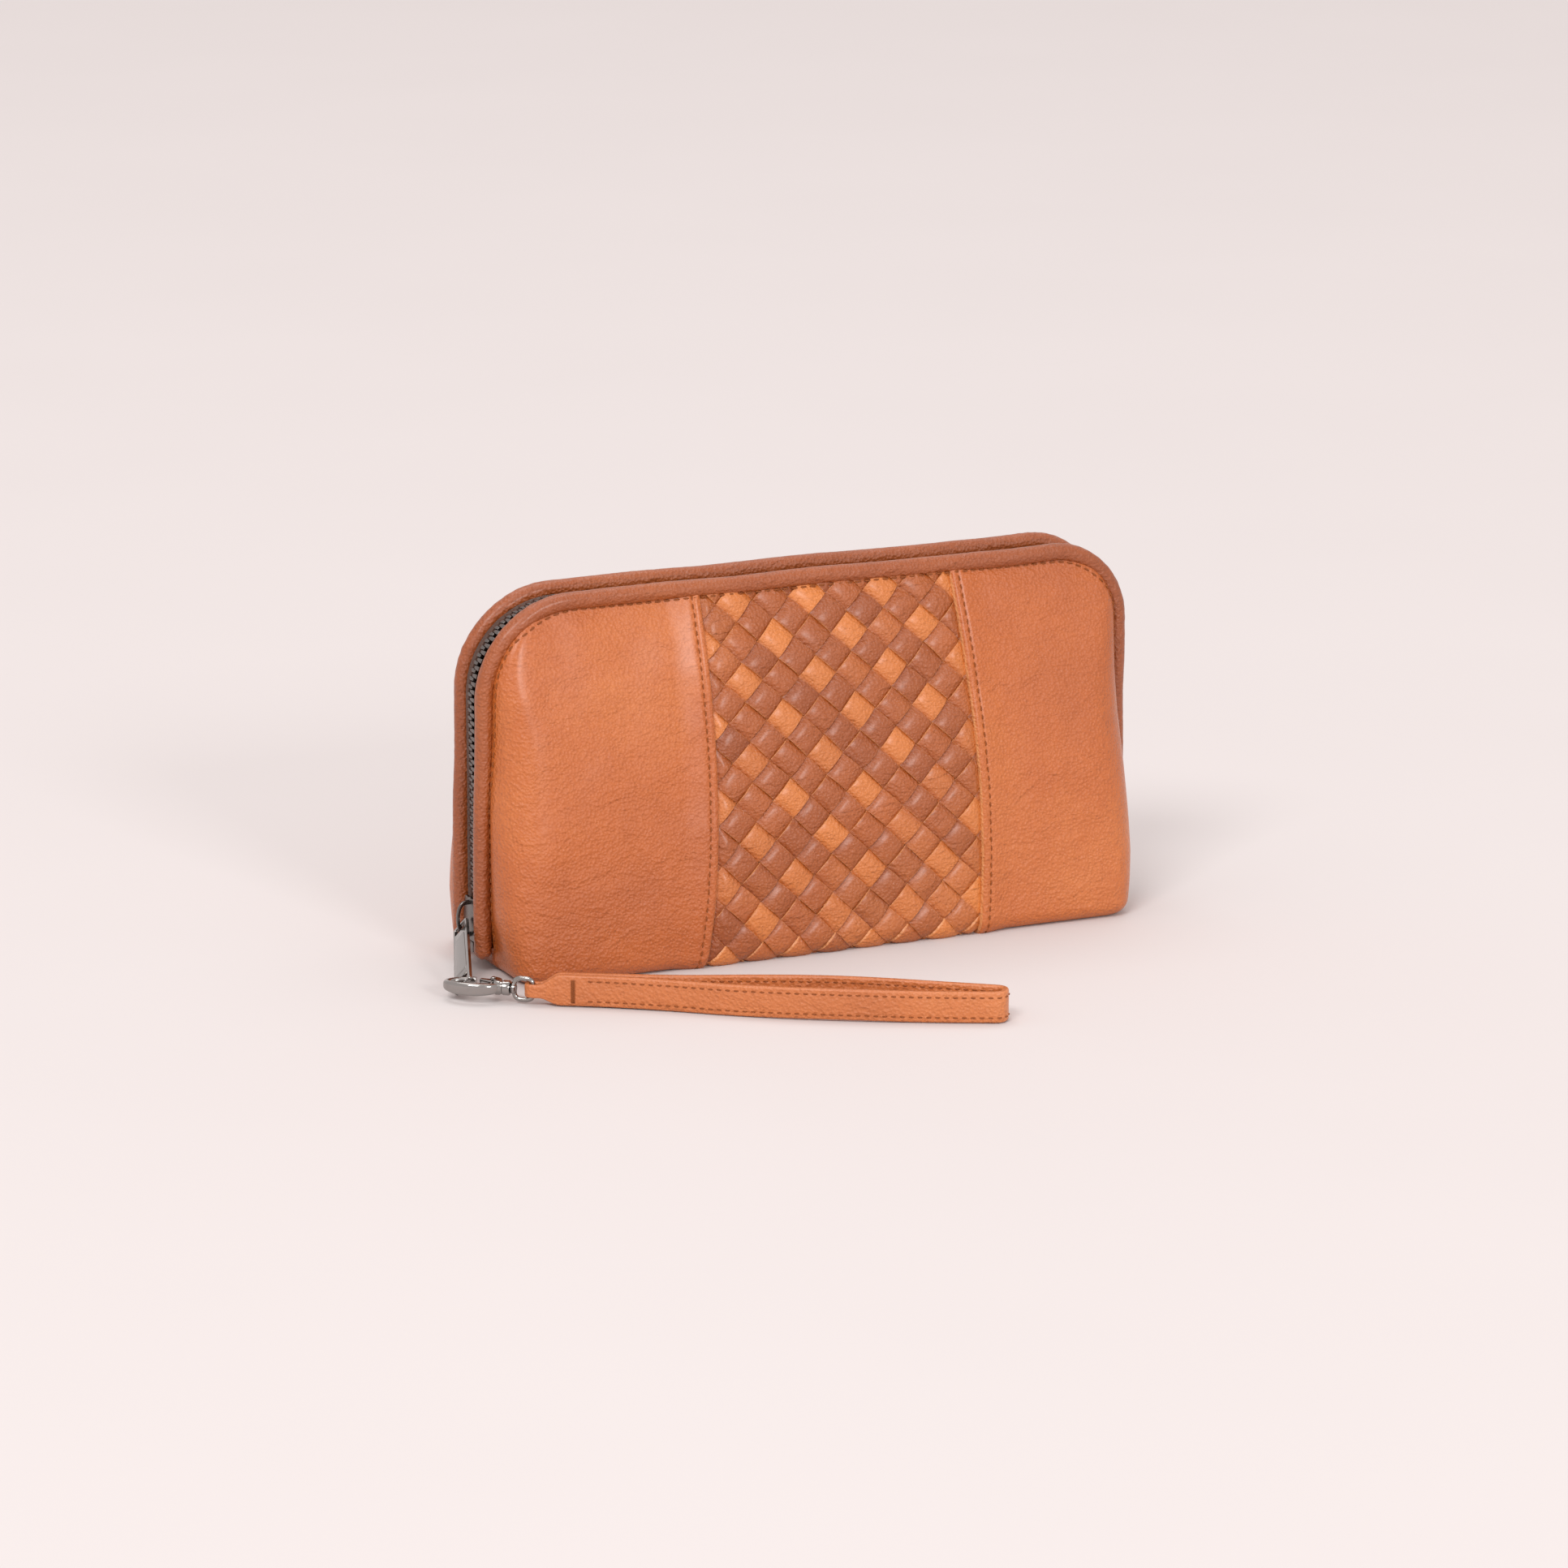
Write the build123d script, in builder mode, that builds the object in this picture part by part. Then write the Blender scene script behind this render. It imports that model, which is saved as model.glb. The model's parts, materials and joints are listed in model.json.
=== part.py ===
"""Zip-around leather wallet with a woven centre panel and a clip-on wrist strap.

The wallet stands on its flat base. X is its width, -Y its front, +Z up, and the origin is the centre
of the base on the table. Millimetres throughout.
"""
import os
from math import cos, radians, sin

from build123d import *

os.makedirs("parts", exist_ok=True)

# ---------------------------------------------------------------- driving dimensions
WIDTH = 210.0             # across the binding
HEIGHT = 111.0            # table to the crest of the binding
BASE_DEPTH = 62.4         # front to rear at the base
CREST_GAP = 16.4          # between the centre lines of the two bindings
CORNER_RADIUS = 28.0      # top corners, at the binding's crest
BASE_WALL = 5.0           # height of the base's turned-up edge
WALL_START = 5.3          # lowest line of the two halves
LEATHER = 1.6
BOARD = 1.0
LINING = 0.5
FIT = 0.1                 # air between layers that are glued or sewn together
FACE_MIDDLE = 24.0        # face to the middle plane at half height
FACE_TOP = 9.8            # face to the middle plane at the top
BOARD_REACH = 90.0        # half the width of a half's stiffener
BOARD_LOW = 9.0
BOARD_HIGH = 97.0
BASE_CORNER = 6.0         # base's corners seen from above
BASE_ROUND = 3.4          # base's lower edge

BINDING_DIAMETER = 5.4
SEAM_LEFT = -40.0         # woven panel's left edge
SEAM_RIGHT = 46.0         # woven panel's right edge
SIDE_TAPER = 6.0          # degrees the side walls lean in towards the front

TOOTH_PITCH = 2.3         # between teeth of one row
TOOTH_HEIGHT = 2.2
TOOTH_WIDTH = 1.24        # at the clamped end
NECK_WIDTH = 0.92         # at the meshing end
TAPE_THICKNESS = 0.8
TAPE_NEAR = 2.8           # tape's near edge to the middle plane
TAPE_WIDTH = 2.7
ZIP_INSET = 4.2           # zip's centre plane inside the binding's crest
ZIP_END_Z = 9.5           # lowest tooth on the right
STOP_DEPTH = 1.8
STOP_ROUND = 0.5
TAB_WIDTH = 10.0
TAB_HEIGHT = 5.8
SLIDER_LENGTH = 13.0
SLIDER_Z = 14.5           # slider's middle when the zip is closed
SLIDER_HALF_WIDTH = 4.7
SLIDER_MOUTH = 3.6        # half the width of the end where the rows part
SLIDER_CAVITY = 1.3       # from the zip's centre plane to either plate
SLIDER_PLATE = 0.9
FLANGE = 0.7
FLANGE_DEPTH = 0.6
POST_HALF = (0.9, 2.2)    # half width and half length of the splitting post
CROWN_HEIGHT = 10.8
CROWN_REACH = 4.0         # crown above the outer plate
CROWN_WALL = 0.8

PULL_PIN = Vector(-105.3, 0.95, 12.2)
PULL_SLOT = Vector(-116.0, -28.0, 4.4)
PULL_ROLL = 53.0          # degrees the puller is rolled about its length
PULL_THICKNESS = 1.1
PULL_TOP = 3.1            # half width at the slider
PULL_FOOT = 3.7           # half width at the hook
PULL_END = 3.1            # past the middle of the lower slot

HOOK_CENTER = Vector(-115.0, -33.0, 4.4)
HOOK_HEADING = -38.0      # degrees from +X, from the hook's tip to its neck
HOOK_LENGTH = 18.4
HOOK_BREADTH = 10.4
HOOK_THICKNESS = 2.4
GRIP_THICKNESS = 4.0      # near arm
EYE_HALF = (6.3, 3.1)     # half length and half breadth of the hook's opening
EYE_SHIFT = 0.3           # opening's shift towards the gate
NECK_START = 7.2          # along the hook from its centre
NECK_LENGTH = 4.2
NECK_RADIUS = 2.2
GATE_PIVOT = (5.3, 3.1)   # in the hook's plane
GATE_CENTER = 3.5         # middle of the gap cut for the gate
GATE_SPAN = 5.8
GATE_THICKNESS = 2.0
CHEEK = 0.7               # plates that carry the gate's pin
PIVOT_RADIUS = 0.45
SPRING_RADIUS = 0.75
SPRING_WIRE = 0.15
STEM_RADIUS = 0.8
HEAD_RADIUS = 1.45
HEAD_START = 5.3          # swivel head, inside the neck
HEAD_LENGTH = 0.8
BORE_START = 4.2          # bore of the neck and its wider chamber
CHAMBER_LENGTH = 2.2
RING_START = 12.4         # hook centre to the ring's near bar
RING_REACH = 18.0         # hook centre to the ring's end bar
RING_WIRE = 1.5
RING_HEIGHT = 7.8
RING_CORNER = 2.4
RING_AXIS_Z = 4.4

STRAP_WIDTH = 9.6
STRAP_LAYER = 2.2
STRAP_BELLY = 7.6         # half the loop's width at its widest
STRAP_TIP = 4.6           # half the loop's width near its far end
STRAP_END = (16.0, -113.0)
EYE_HEIGHT = 3.4          # part of the strap folded round the ring's bar
STRAP_NECK = 12.0         # length of the sewn neck
SEWN_END = 21.8           # how much further the layers stay sewn together

COIN_WIDTH = 178.0
COIN_DEPTH = 7.0
COIN_BOTTOM = 6.6
COIN_TOP = 88.0
COIN_WALL = 1.0
COIN_PITCH = 1.9
COIN_TEETH = 80
COIN_SLIDER_X = 82.0
COIN_PULL_LENGTH = 13.0
CARD_WIDTH = 88.0
POCKET_LEAF = 0.7
POCKET_PITCH = 0.85       # from one pocket's face to the next
POCKET_LIFT = 0.3         # air between the lining and the nearest pocket
POCKET_LOW = 4.0          # up the wall
POCKET_HEIGHT = 36.0      # of the lowest pocket
POCKET_STEP = 12.0        # how much each pocket behind stands above the one in front
SLIP_HEIGHT = 68.0
GUSSET_LOW = 6.0
GUSSET_HIGH = 60.0
GUSSET_WALL = 0.5

# ---------------------------------------------------------------- derived dimensions
HALF_WIDTH = WIDTH / 2
BINDING_RADIUS = BINDING_DIAMETER / 2
BINDING_Y = CREST_GAP / 2
BINDING_INSET = BINDING_DIAMETER / 2 + 0.05
PANEL_HALF = HALF_WIDTH - BINDING_DIAMETER - 0.2
PANEL_TOP = HEIGHT - BINDING_DIAMETER - 0.2
PANEL_RADIUS = CORNER_RADIUS - BINDING_DIAMETER - 0.2
FRONT_Y = BASE_DEPTH / 2
ZIP_X = HALF_WIDTH - ZIP_INSET
ZIP_TOP = HEIGHT - ZIP_INSET
ZIP_RADIUS = CORNER_RADIUS - ZIP_INSET
TAPE_START = SLIDER_Z - SLIDER_LENGTH / 2 - 0.4
COIN_ZIP_Z = COIN_TOP + 0.5
HOOK_PLANE = Plane(
    origin=HOOK_CENTER,
    x_dir=(cos(radians(HOOK_HEADING)), sin(radians(HOOK_HEADING)), 0),
    z_dir=(0, 0, 1),
)


def save(builder, label):
    """Name a finished sub-part and write its STEP file."""
    builder.part.label = label
    export_step(builder.part, f"parts/{label}.step")


def save_both(front, label):
    """Write a front piece and its mirrored rear twin."""
    save(front, f"front_{label}")
    with BuildPart() as rear:
        mirror(front.part, about=Plane.XZ)
    save(rear, f"rear_{label}")


def arch(half_width, top, radius, bottom):
    """Sketch of an upright rectangle with rounded top corners."""
    with BuildSketch() as outline:
        with BuildLine():
            FilletPolyline(
                (-half_width, bottom),
                (-half_width, top),
                (half_width, top),
                (half_width, bottom),
                radius=radius,
            )
            Line((half_width, bottom), (-half_width, bottom))
        make_face()
    return outline.sketch


def half_solid(inset):
    """Solid space of the front half, moved inwards by inset from the leather's outer face."""
    with BuildPart() as solid:
        with BuildSketch(Plane.XZ.offset(BINDING_Y)):
            add(arch(PANEL_HALF - inset, PANEL_TOP - inset, PANEL_RADIUS - inset, WALL_START))
        extrude(amount=FRONT_Y, taper=SIDE_TAPER)
        with BuildSketch(Plane.YZ.offset(-HALF_WIDTH)):
            with BuildLine():
                outer = ThreePointArc(
                    (inset - FRONT_Y, WALL_START),
                    (inset - FACE_MIDDLE, HEIGHT / 2),
                    (inset - FACE_TOP, PANEL_TOP),
                )
                Polyline(outer @ 1, (0, PANEL_TOP), (0, WALL_START), outer @ 0)
            make_face()
        extrude(amount=WIDTH, mode=Mode.INTERSECT)
        with Locations((0, -FRONT_Y, WALL_START - 2)):
            Box(WIDTH, WIDTH, 4, mode=Mode.SUBTRACT)
    return solid.part


def shell(inset, thickness):
    """Tray-shaped layer of the front half."""
    with BuildPart() as layer:
        add(half_solid(inset))
        add(half_solid(inset + thickness), mode=Mode.SUBTRACT)
    return layer.part


def slab(low_x, high_x, low_z, high_z):
    """Upright block that keeps the part of a layer between two X and two Z planes."""
    with Locations(((low_x + high_x) / 2, 0, (low_z + high_z) / 2)):
        Box(high_x - low_x, 2 * BASE_DEPTH, high_z - low_z, mode=Mode.INTERSECT)


PANEL_SPANS = {
    "left_panel": (-HALF_WIDTH, SEAM_LEFT),
    "woven_panel": (SEAM_LEFT, SEAM_RIGHT),
    "right_panel": (SEAM_RIGHT, HALF_WIDTH),
}


# ---------------------------------------------------------------- outer leather of the halves
def make_panels():
    leather = shell(0, LEATHER)
    for label, (low_x, high_x) in PANEL_SPANS.items():
        with BuildPart() as panel:
            add(leather)
            slab(low_x, high_x, 0, HEIGHT)
        save_both(panel, label)


def make_boards():
    with BuildPart() as board:
        add(shell(LEATHER + FIT, BOARD))
        slab(-BOARD_REACH, BOARD_REACH, BOARD_LOW, BOARD_HIGH)
    save_both(board, "board")


def make_linings():
    with BuildPart() as lining:
        add(shell(LEATHER + BOARD + 2 * FIT, LINING))
    save_both(lining, "lining")


def make_bindings():
    side = HALF_WIDTH - BINDING_INSET
    top = HEIGHT - BINDING_INSET
    with BuildPart() as binding:
        with BuildLine(Plane.XZ.offset(BINDING_Y)) as run:
            FilletPolyline(
                (-side, WALL_START),
                (-side, top),
                (side, top),
                (side, WALL_START),
                radius=CORNER_RADIUS - BINDING_INSET,
            )
        with BuildSketch(Plane(origin=run.line @ 0, z_dir=run.line % 0)):
            Circle(BINDING_RADIUS)
        sweep()
    save_both(binding, "binding")


# ---------------------------------------------------------------- main zip
def make_tapes():
    edge = TAPE_THICKNESS / 2
    with BuildPart() as tape:
        with BuildSketch(Plane.XZ.offset(TAPE_NEAR)):
            add(arch(ZIP_X + edge, ZIP_TOP + edge, ZIP_RADIUS + edge, TAPE_START))
            inner = arch(ZIP_X - edge, ZIP_TOP - edge, ZIP_RADIUS - edge, TAPE_START)
            add(inner, mode=Mode.SUBTRACT)
        extrude(amount=TAPE_WIDTH)
    save_both(tape, "zip_tape")


def tooth_blank():
    """One tooth, clamped over the tape's edge, its head reaching past the centre line."""
    wide = TOOTH_WIDTH / 2
    slim = NECK_WIDTH / 2
    outline = [(-2.6, -wide), (-0.75, -wide), (-0.1, -slim), (0.6, -slim)]
    outline += [(x, -y) for x, y in reversed(outline)]
    with BuildPart() as tooth:
        with BuildSketch():
            Polygon(*outline, align=None)
        extrude(amount=TOOTH_HEIGHT / 2, both=True)
    return tooth.part


def make_teeth():
    """Two rows of teeth, half a pitch apart, meshed along the whole closed run."""
    with BuildLine(Plane.XZ) as run:
        FilletPolyline(
            (-ZIP_X, SLIDER_Z + SLIDER_LENGTH / 2 + 0.8),
            (-ZIP_X, ZIP_TOP),
            (ZIP_X, ZIP_TOP),
            (ZIP_X, ZIP_END_Z),
            radius=ZIP_RADIUS,
        )
    line = run.wire()
    blank = tooth_blank()
    count = int(line.length / TOOTH_PITCH)
    for label, across, lead in (("front", 1, 0.25), ("rear", -1, 0.75)):
        places = []
        for index in range(count):
            along = (index + lead) * TOOTH_PITCH / line.length
            out = (line % along).cross(Vector(0, across, 0))
            places.append(Plane(origin=line @ along, x_dir=(0, across, 0), z_dir=out).location)
        with BuildPart() as row:
            with Locations(*places):
                add(blank)
        save(row, f"{label}_zip_teeth")


def make_zip_ends():
    """Closed ends of the zip, sewn to the base: tape tabs and end stops."""
    for label, side in (("left", -1), ("right", 1)):
        with BuildPart() as tab:
            with Locations((side * (PANEL_HALF - 0.6), 0, 3.9)):
                Box(LEATHER, TAB_WIDTH, TAB_HEIGHT)
            fillet(tab.edges().filter_by(Axis.X), 1.2)
        save(tab, f"end_tab_{label}")
    with BuildPart() as top_stops:
        for y in (-2.0, 2.0):
            with Locations((-ZIP_X, y, 5.2)):
                Box(STOP_DEPTH, 2.2, 3.2)
        fillet(top_stops.edges().filter_by(Axis.X), STOP_ROUND)
    save(top_stops, "zip_top_stops")
    with BuildPart() as bottom_stop:
        with Locations((ZIP_X, 0, 6.0)):
            Box(STOP_DEPTH, 5.6, 4.2)
        fillet(bottom_stop.edges().filter_by(Axis.X), STOP_ROUND)
    save(bottom_stop, "zip_bottom_stop")


def make_slider():
    """Two plates round the teeth, a splitting post, side flanges and the crown."""
    half = SLIDER_LENGTH / 2
    wide = SLIDER_HALF_WIDTH
    mouth = SLIDER_MOUTH
    post_x, post_y = POST_HALF
    face = Plane(origin=(-ZIP_X, 0, SLIDER_Z), x_dir=(0, -1, 0), z_dir=(-1, 0, 0))
    outline = [(-mouth, half), (mouth, half), (wide, 0), (wide, -half), (-wide, -half), (-wide, 0)]
    with BuildPart() as slider:
        for level in (SLIDER_CAVITY, -SLIDER_CAVITY - SLIDER_PLATE):
            with BuildSketch(face.offset(level)) as plate_sketch:
                Polygon(*outline, align=None)
                fillet(plate_sketch.vertices(), 0.8)
            extrude(amount=SLIDER_PLATE)
        with BuildSketch(face):
            with Locations((0, -half + post_y)):
                Polygon((-post_x, 0), (0, post_y), (post_x, 0), (0, -post_y), align=None)
        extrude(amount=SLIDER_CAVITY, both=True)
        side = wide - FLANGE / 2
        for level, depth in ((SLIDER_CAVITY, -FLANGE_DEPTH), (-SLIDER_CAVITY, FLANGE_DEPTH)):
            with BuildSketch(face.offset(level)):
                with Locations((-side, -half / 2 - 0.4), (side, -half / 2 - 0.4)):
                    Rectangle(FLANGE, half - 1.2)
            extrude(amount=depth)
        top = -ZIP_X - SLIDER_CAVITY - SLIDER_PLATE
        inner_reach = CROWN_REACH - CROWN_WALL
        with BuildSketch(Plane.XZ) as crown:
            with Locations((top - CROWN_REACH / 2 + 0.1, SLIDER_Z)):
                Rectangle(CROWN_REACH + 0.2, CROWN_HEIGHT)
            fillet(crown.vertices().group_by(Axis.X)[0], 2.2)
            with Locations((top - inner_reach / 2 + 0.05, SLIDER_Z)):
                Rectangle(inner_reach, CROWN_HEIGHT - 2 * CROWN_WALL, mode=Mode.SUBTRACT)
        extrude(amount=0.5, both=True)
    save(slider, "zip_slider")


# ---------------------------------------------------------------- puller, hook, ring and strap
def pull_plane(origin):
    """Plane of the puller: its Z is the plate's normal and its -Y runs down the plate."""
    length = (PULL_SLOT - PULL_PIN).normalized()
    level = length.cross(Vector(0, 0, -1)).normalized()
    across = level.rotate(Axis((0, 0, 0), length), PULL_ROLL)
    return Plane(origin=origin, x_dir=across, z_dir=length.cross(across))


def make_puller():
    """Tapered plate with a rounded slot for the crown and a square one for the hook."""
    plane = pull_plane(PULL_PIN)
    reach = (PULL_SLOT - PULL_PIN).length
    end = -reach - PULL_END
    outline = [(-PULL_TOP, 0.45), (PULL_TOP, 0.45), (PULL_FOOT, end), (-PULL_FOOT, end)]
    with BuildPart() as puller:
        with BuildSketch(plane.offset(-PULL_THICKNESS / 2)) as plate:
            Polygon(*outline, align=None)
            chamfer(plate.vertices(), 0.7)
            with Locations((0, -2.1)):
                RectangleRounded(4.8, 3.2, 0.6, mode=Mode.SUBTRACT)
            with Locations((0, -reach)):
                Rectangle(5.2, 4.0, mode=Mode.SUBTRACT)
        extrude(amount=PULL_THICKNESS)
    save(puller, "zip_puller")


def hook_oval():
    """Plan of the hook: an oval with an oval opening nearer to the gate."""
    with BuildSketch() as oval:
        Ellipse(HOOK_LENGTH / 2, HOOK_BREADTH / 2)
        with Locations((0, EYE_SHIFT)):
            Ellipse(*EYE_HALF, mode=Mode.SUBTRACT)
    return oval.sketch


def make_hook():
    """Flat oval hook with a barrel neck; its far arm is cut for the gate, held between two cheeks."""
    half = HOOK_THICKNESS / 2
    axis = HOOK_PLANE.x_dir
    neck = Plane(origin=HOOK_CENTER + axis * NECK_START, z_dir=axis)
    bore = Plane(origin=HOOK_CENTER + axis * BORE_START, z_dir=axis)
    with BuildPart() as hook:
        with BuildSketch(HOOK_PLANE):
            add(hook_oval())
        extrude(amount=half, both=True)
        with BuildSketch(HOOK_PLANE):
            add(hook_oval())
            with Locations((0, 3.2)):
                Rectangle(2 * HOOK_LENGTH, 8, mode=Mode.SUBTRACT)
        extrude(amount=GRIP_THICKNESS / 2, both=True)
        with BuildSketch(neck):
            Circle(NECK_RADIUS)
        extrude(amount=NECK_LENGTH)
        with BuildSketch(bore):
            Circle(STEM_RADIUS + 0.15)
        extrude(amount=2 * NECK_LENGTH, mode=Mode.SUBTRACT)
        with BuildSketch(bore):
            Circle(HEAD_RADIUS + 0.35)
        extrude(amount=CHAMBER_LENGTH, mode=Mode.SUBTRACT)
        with BuildSketch(HOOK_PLANE):
            with Locations((GATE_CENTER, 3.9)):
                Rectangle(GATE_SPAN, 3.6)
        extrude(amount=HOOK_THICKNESS, both=True, mode=Mode.SUBTRACT)
        for side in (-1, 1):
            with BuildSketch(HOOK_PLANE.offset(side * half)):
                SlotCenterPoint((6.45, 2.35), (7.6, 1.6), 2.4)
            extrude(amount=side * CHEEK)
        with BuildSketch(HOOK_PLANE):
            with Locations(GATE_PIVOT):
                Circle(PIVOT_RADIUS + 0.05)
        extrude(amount=HOOK_THICKNESS, both=True, mode=Mode.SUBTRACT)
    save(hook, "hook_body")


def make_gate():
    """Finger that closes the hook's far side, its pivot pin and the torsion spring round the pin."""
    with BuildPart() as gate:
        with BuildSketch(HOOK_PLANE):
            Polygon((0.9, 3.55), (1.3, 5.0), (3.2, 4.75), (6.0, 4.0), (6.0, 2.5), (4.2, 2.5), align=None)
            with Locations(GATE_PIVOT):
                Circle(PIVOT_RADIUS + 0.05, mode=Mode.SUBTRACT)
        extrude(amount=GATE_THICKNESS / 2, both=True)
        with BuildSketch(HOOK_PLANE):
            with Locations(GATE_PIVOT):
                Circle(SPRING_RADIUS + 0.3)
        extrude(amount=0.5, both=True, mode=Mode.SUBTRACT)
    save(gate, "hook_gate")
    with BuildPart() as pin:
        with BuildSketch(HOOK_PLANE):
            with Locations(GATE_PIVOT):
                Circle(PIVOT_RADIUS)
        extrude(amount=HOOK_THICKNESS / 2 + CHEEK, both=True)
    save(pin, "gate_pin")
    with BuildPart(HOOK_PLANE) as spring:
        with Locations(*[(*GATE_PIVOT, level * 0.28) for level in (-1, 0, 1)]):
            Torus(SPRING_RADIUS, SPRING_WIRE)
        with Locations((GATE_PIVOT[0] + SPRING_RADIUS, GATE_PIVOT[1], 0)):
            Cylinder(SPRING_WIRE * 0.9, 0.6)
    save(spring, "gate_spring")


def make_ring():
    """Swivel stem with a riveted head, and the upright ring that the strap hangs on."""
    axis = HOOK_PLANE.x_dir
    upright = Plane(origin=HOOK_CENTER, x_dir=axis, z_dir=axis.cross(Vector(0, 0, 1)))
    head = HOOK_CENTER + axis * HEAD_START
    with BuildPart() as ring:
        with BuildSketch(Plane(origin=head, z_dir=axis)):
            Circle(HEAD_RADIUS)
        extrude(amount=HEAD_LENGTH)
        with BuildSketch(Plane(origin=head, z_dir=axis)):
            Circle(STEM_RADIUS)
        extrude(amount=RING_START - HEAD_START + 0.2)
        with BuildSketch(upright):
            with Locations(((RING_REACH + RING_START) / 2, 0)):
                RectangleRounded(RING_REACH - RING_START + RING_WIRE, RING_HEIGHT, RING_CORNER)
                opening = RING_HEIGHT - 2 * RING_WIRE
                RectangleRounded(RING_REACH - RING_START - RING_WIRE, opening, 0.7, mode=Mode.SUBTRACT)
        extrude(amount=RING_WIRE / 2, both=True)
    save(ring, "swivel_ring")


def strap_outline(length, start, inset):
    """Plan of the strap: a narrow neck that opens into a long loop with a rounded far end."""
    neck = STRAP_LAYER + 0.1 - inset
    belly = STRAP_BELLY - inset
    tip = STRAP_TIP - inset
    far = length - inset
    bend = length - 5
    middle = length * 0.55
    mouth = start + STRAP_NECK
    with BuildSketch() as outline:
        with BuildLine():
            upper = ThreePointArc((mouth, neck), (middle, belly), (bend, tip))
            nose = ThreePointArc(upper @ 1, (far, 0), (bend, -tip))
            lower = ThreePointArc(nose @ 1, (middle, -belly), (mouth, -neck))
            Polyline(lower @ 1, (start, -neck), (start, neck), upper @ 0)
        make_face()
    return outline.sketch


def make_strap():
    """Folded leather band on its edge: an eye round the ring's bar, and the wrist loop."""
    eye = HOOK_PLANE.from_local_coords((RING_REACH, 0, 0))
    run = Vector(STRAP_END[0] - eye.X, STRAP_END[1] - eye.Y, 0)
    plan = Plane(origin=(eye.X, eye.Y, 0), x_dir=run, z_dir=(0, 0, 1))
    radius = STRAP_LAYER + 0.1
    start = 4.2
    with BuildPart() as strap:
        with BuildSketch(plan):
            add(strap_outline(run.length, start, 0))
            add(strap_outline(run.length, start + SEWN_END, STRAP_LAYER), mode=Mode.SUBTRACT)
        extrude(amount=STRAP_WIDTH)
        with BuildSketch(plan.offset(RING_AXIS_Z - EYE_HEIGHT / 2)):
            with Locations((1.3, 0)):
                SlotOverall(7.2, 2 * radius)
        extrude(amount=EYE_HEIGHT)
        with BuildSketch(plan):
            Circle(radius / 2)
        extrude(amount=STRAP_WIDTH, mode=Mode.SUBTRACT)
    save(strap, "wrist_strap")


# ---------------------------------------------------------------- base
def base_tray(inset, bottom, top):
    """Rounded block inside the base's outer face, used to build its nested layers."""
    with BuildPart() as block:
        with BuildSketch(Plane.XY.offset(bottom)):
            width = 2 * (PANEL_HALF - 2 - inset)
            RectangleRounded(width, BASE_DEPTH - 2 * inset, BASE_CORNER - inset)
        extrude(amount=top - bottom)
        fillet(block.edges().group_by(Axis.Z)[0], BASE_ROUND - inset)
    return block.part


def make_base():
    for label, (low_x, high_x) in PANEL_SPANS.items():
        with BuildPart() as panel:
            add(base_tray(0, 0, BASE_WALL))
            add(base_tray(LEATHER, LEATHER, BASE_WALL), mode=Mode.SUBTRACT)
            slab(low_x, high_x, 0, HEIGHT)
        save(panel, f"base_{label}")
    with BuildPart() as board:
        with BuildSketch(Plane.XY.offset(LEATHER + FIT)):
            RectangleRounded(2 * PANEL_HALF - 12, BASE_DEPTH - 9, 4)
        extrude(amount=BOARD)
    save(board, "base_board")
    with BuildPart() as lining:
        with BuildSketch(Plane.XY.offset(LEATHER + BOARD + 2 * FIT)):
            RectangleRounded(2 * PANEL_HALF - 10, BASE_DEPTH - 7, 5)
        extrude(amount=LINING)
    save(lining, "base_lining")


# ---------------------------------------------------------------- inside the halves
def wall_plane():
    """Plane along the front wall's inner face: its Y runs up the wall, its Z points inwards."""
    inset = LEATHER + BOARD + LINING + 4 * FIT
    low = Vector(0, inset - FRONT_Y, WALL_START)
    high = Vector(0, inset - FACE_TOP, PANEL_TOP)
    rise = (high - low).normalized()
    return Plane(origin=low, x_dir=(-1, 0, 0), z_dir=Vector(-1, 0, 0).cross(rise))


def make_pockets():
    """Eight card pockets in the front half and one slip pocket in the rear half."""
    column = CARD_WIDTH / 2 + 1
    with BuildPart() as cards:
        for step in range(4):
            level = POCKET_LIFT + POCKET_PITCH * (3 - step)
            height = POCKET_HEIGHT + POCKET_STEP * step
            middle = POCKET_LOW + height / 2
            with BuildSketch(wall_plane().offset(level)):
                with Locations((-column, middle), (column, middle)):
                    Rectangle(CARD_WIDTH, height)
            extrude(amount=POCKET_LEAF)
    save(cards, "front_card_pockets")
    with BuildPart() as slip:
        with BuildSketch(wall_plane().offset(POCKET_LIFT)):
            with Locations((0, POCKET_LOW + SLIP_HEIGHT / 2)):
                Rectangle(2 * CARD_WIDTH, SLIP_HEIGHT)
        extrude(amount=POCKET_LEAF)
        mirror(about=Plane.XZ, mode=Mode.REPLACE)
    save(slip, "rear_slip_pocket")


def make_gussets():
    """Folded cloth webs that join the base's ends to the side walls of each half."""
    for label, side in (("left", -1), ("right", 1)):
        with BuildPart() as web:
            with BuildSketch(Plane.YZ.offset(side * (COIN_WIDTH / 2 + 2))):
                with BuildLine():
                    low = GUSSET_LOW
                    high = GUSSET_HIGH
                    Polyline((-25, low), (-8.5, low), (-8.5, high), (-17, high), (-25, low))
                make_face()
            extrude(amount=GUSSET_WALL * side)
        save_both(web, f"gusset_{label}")


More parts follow.
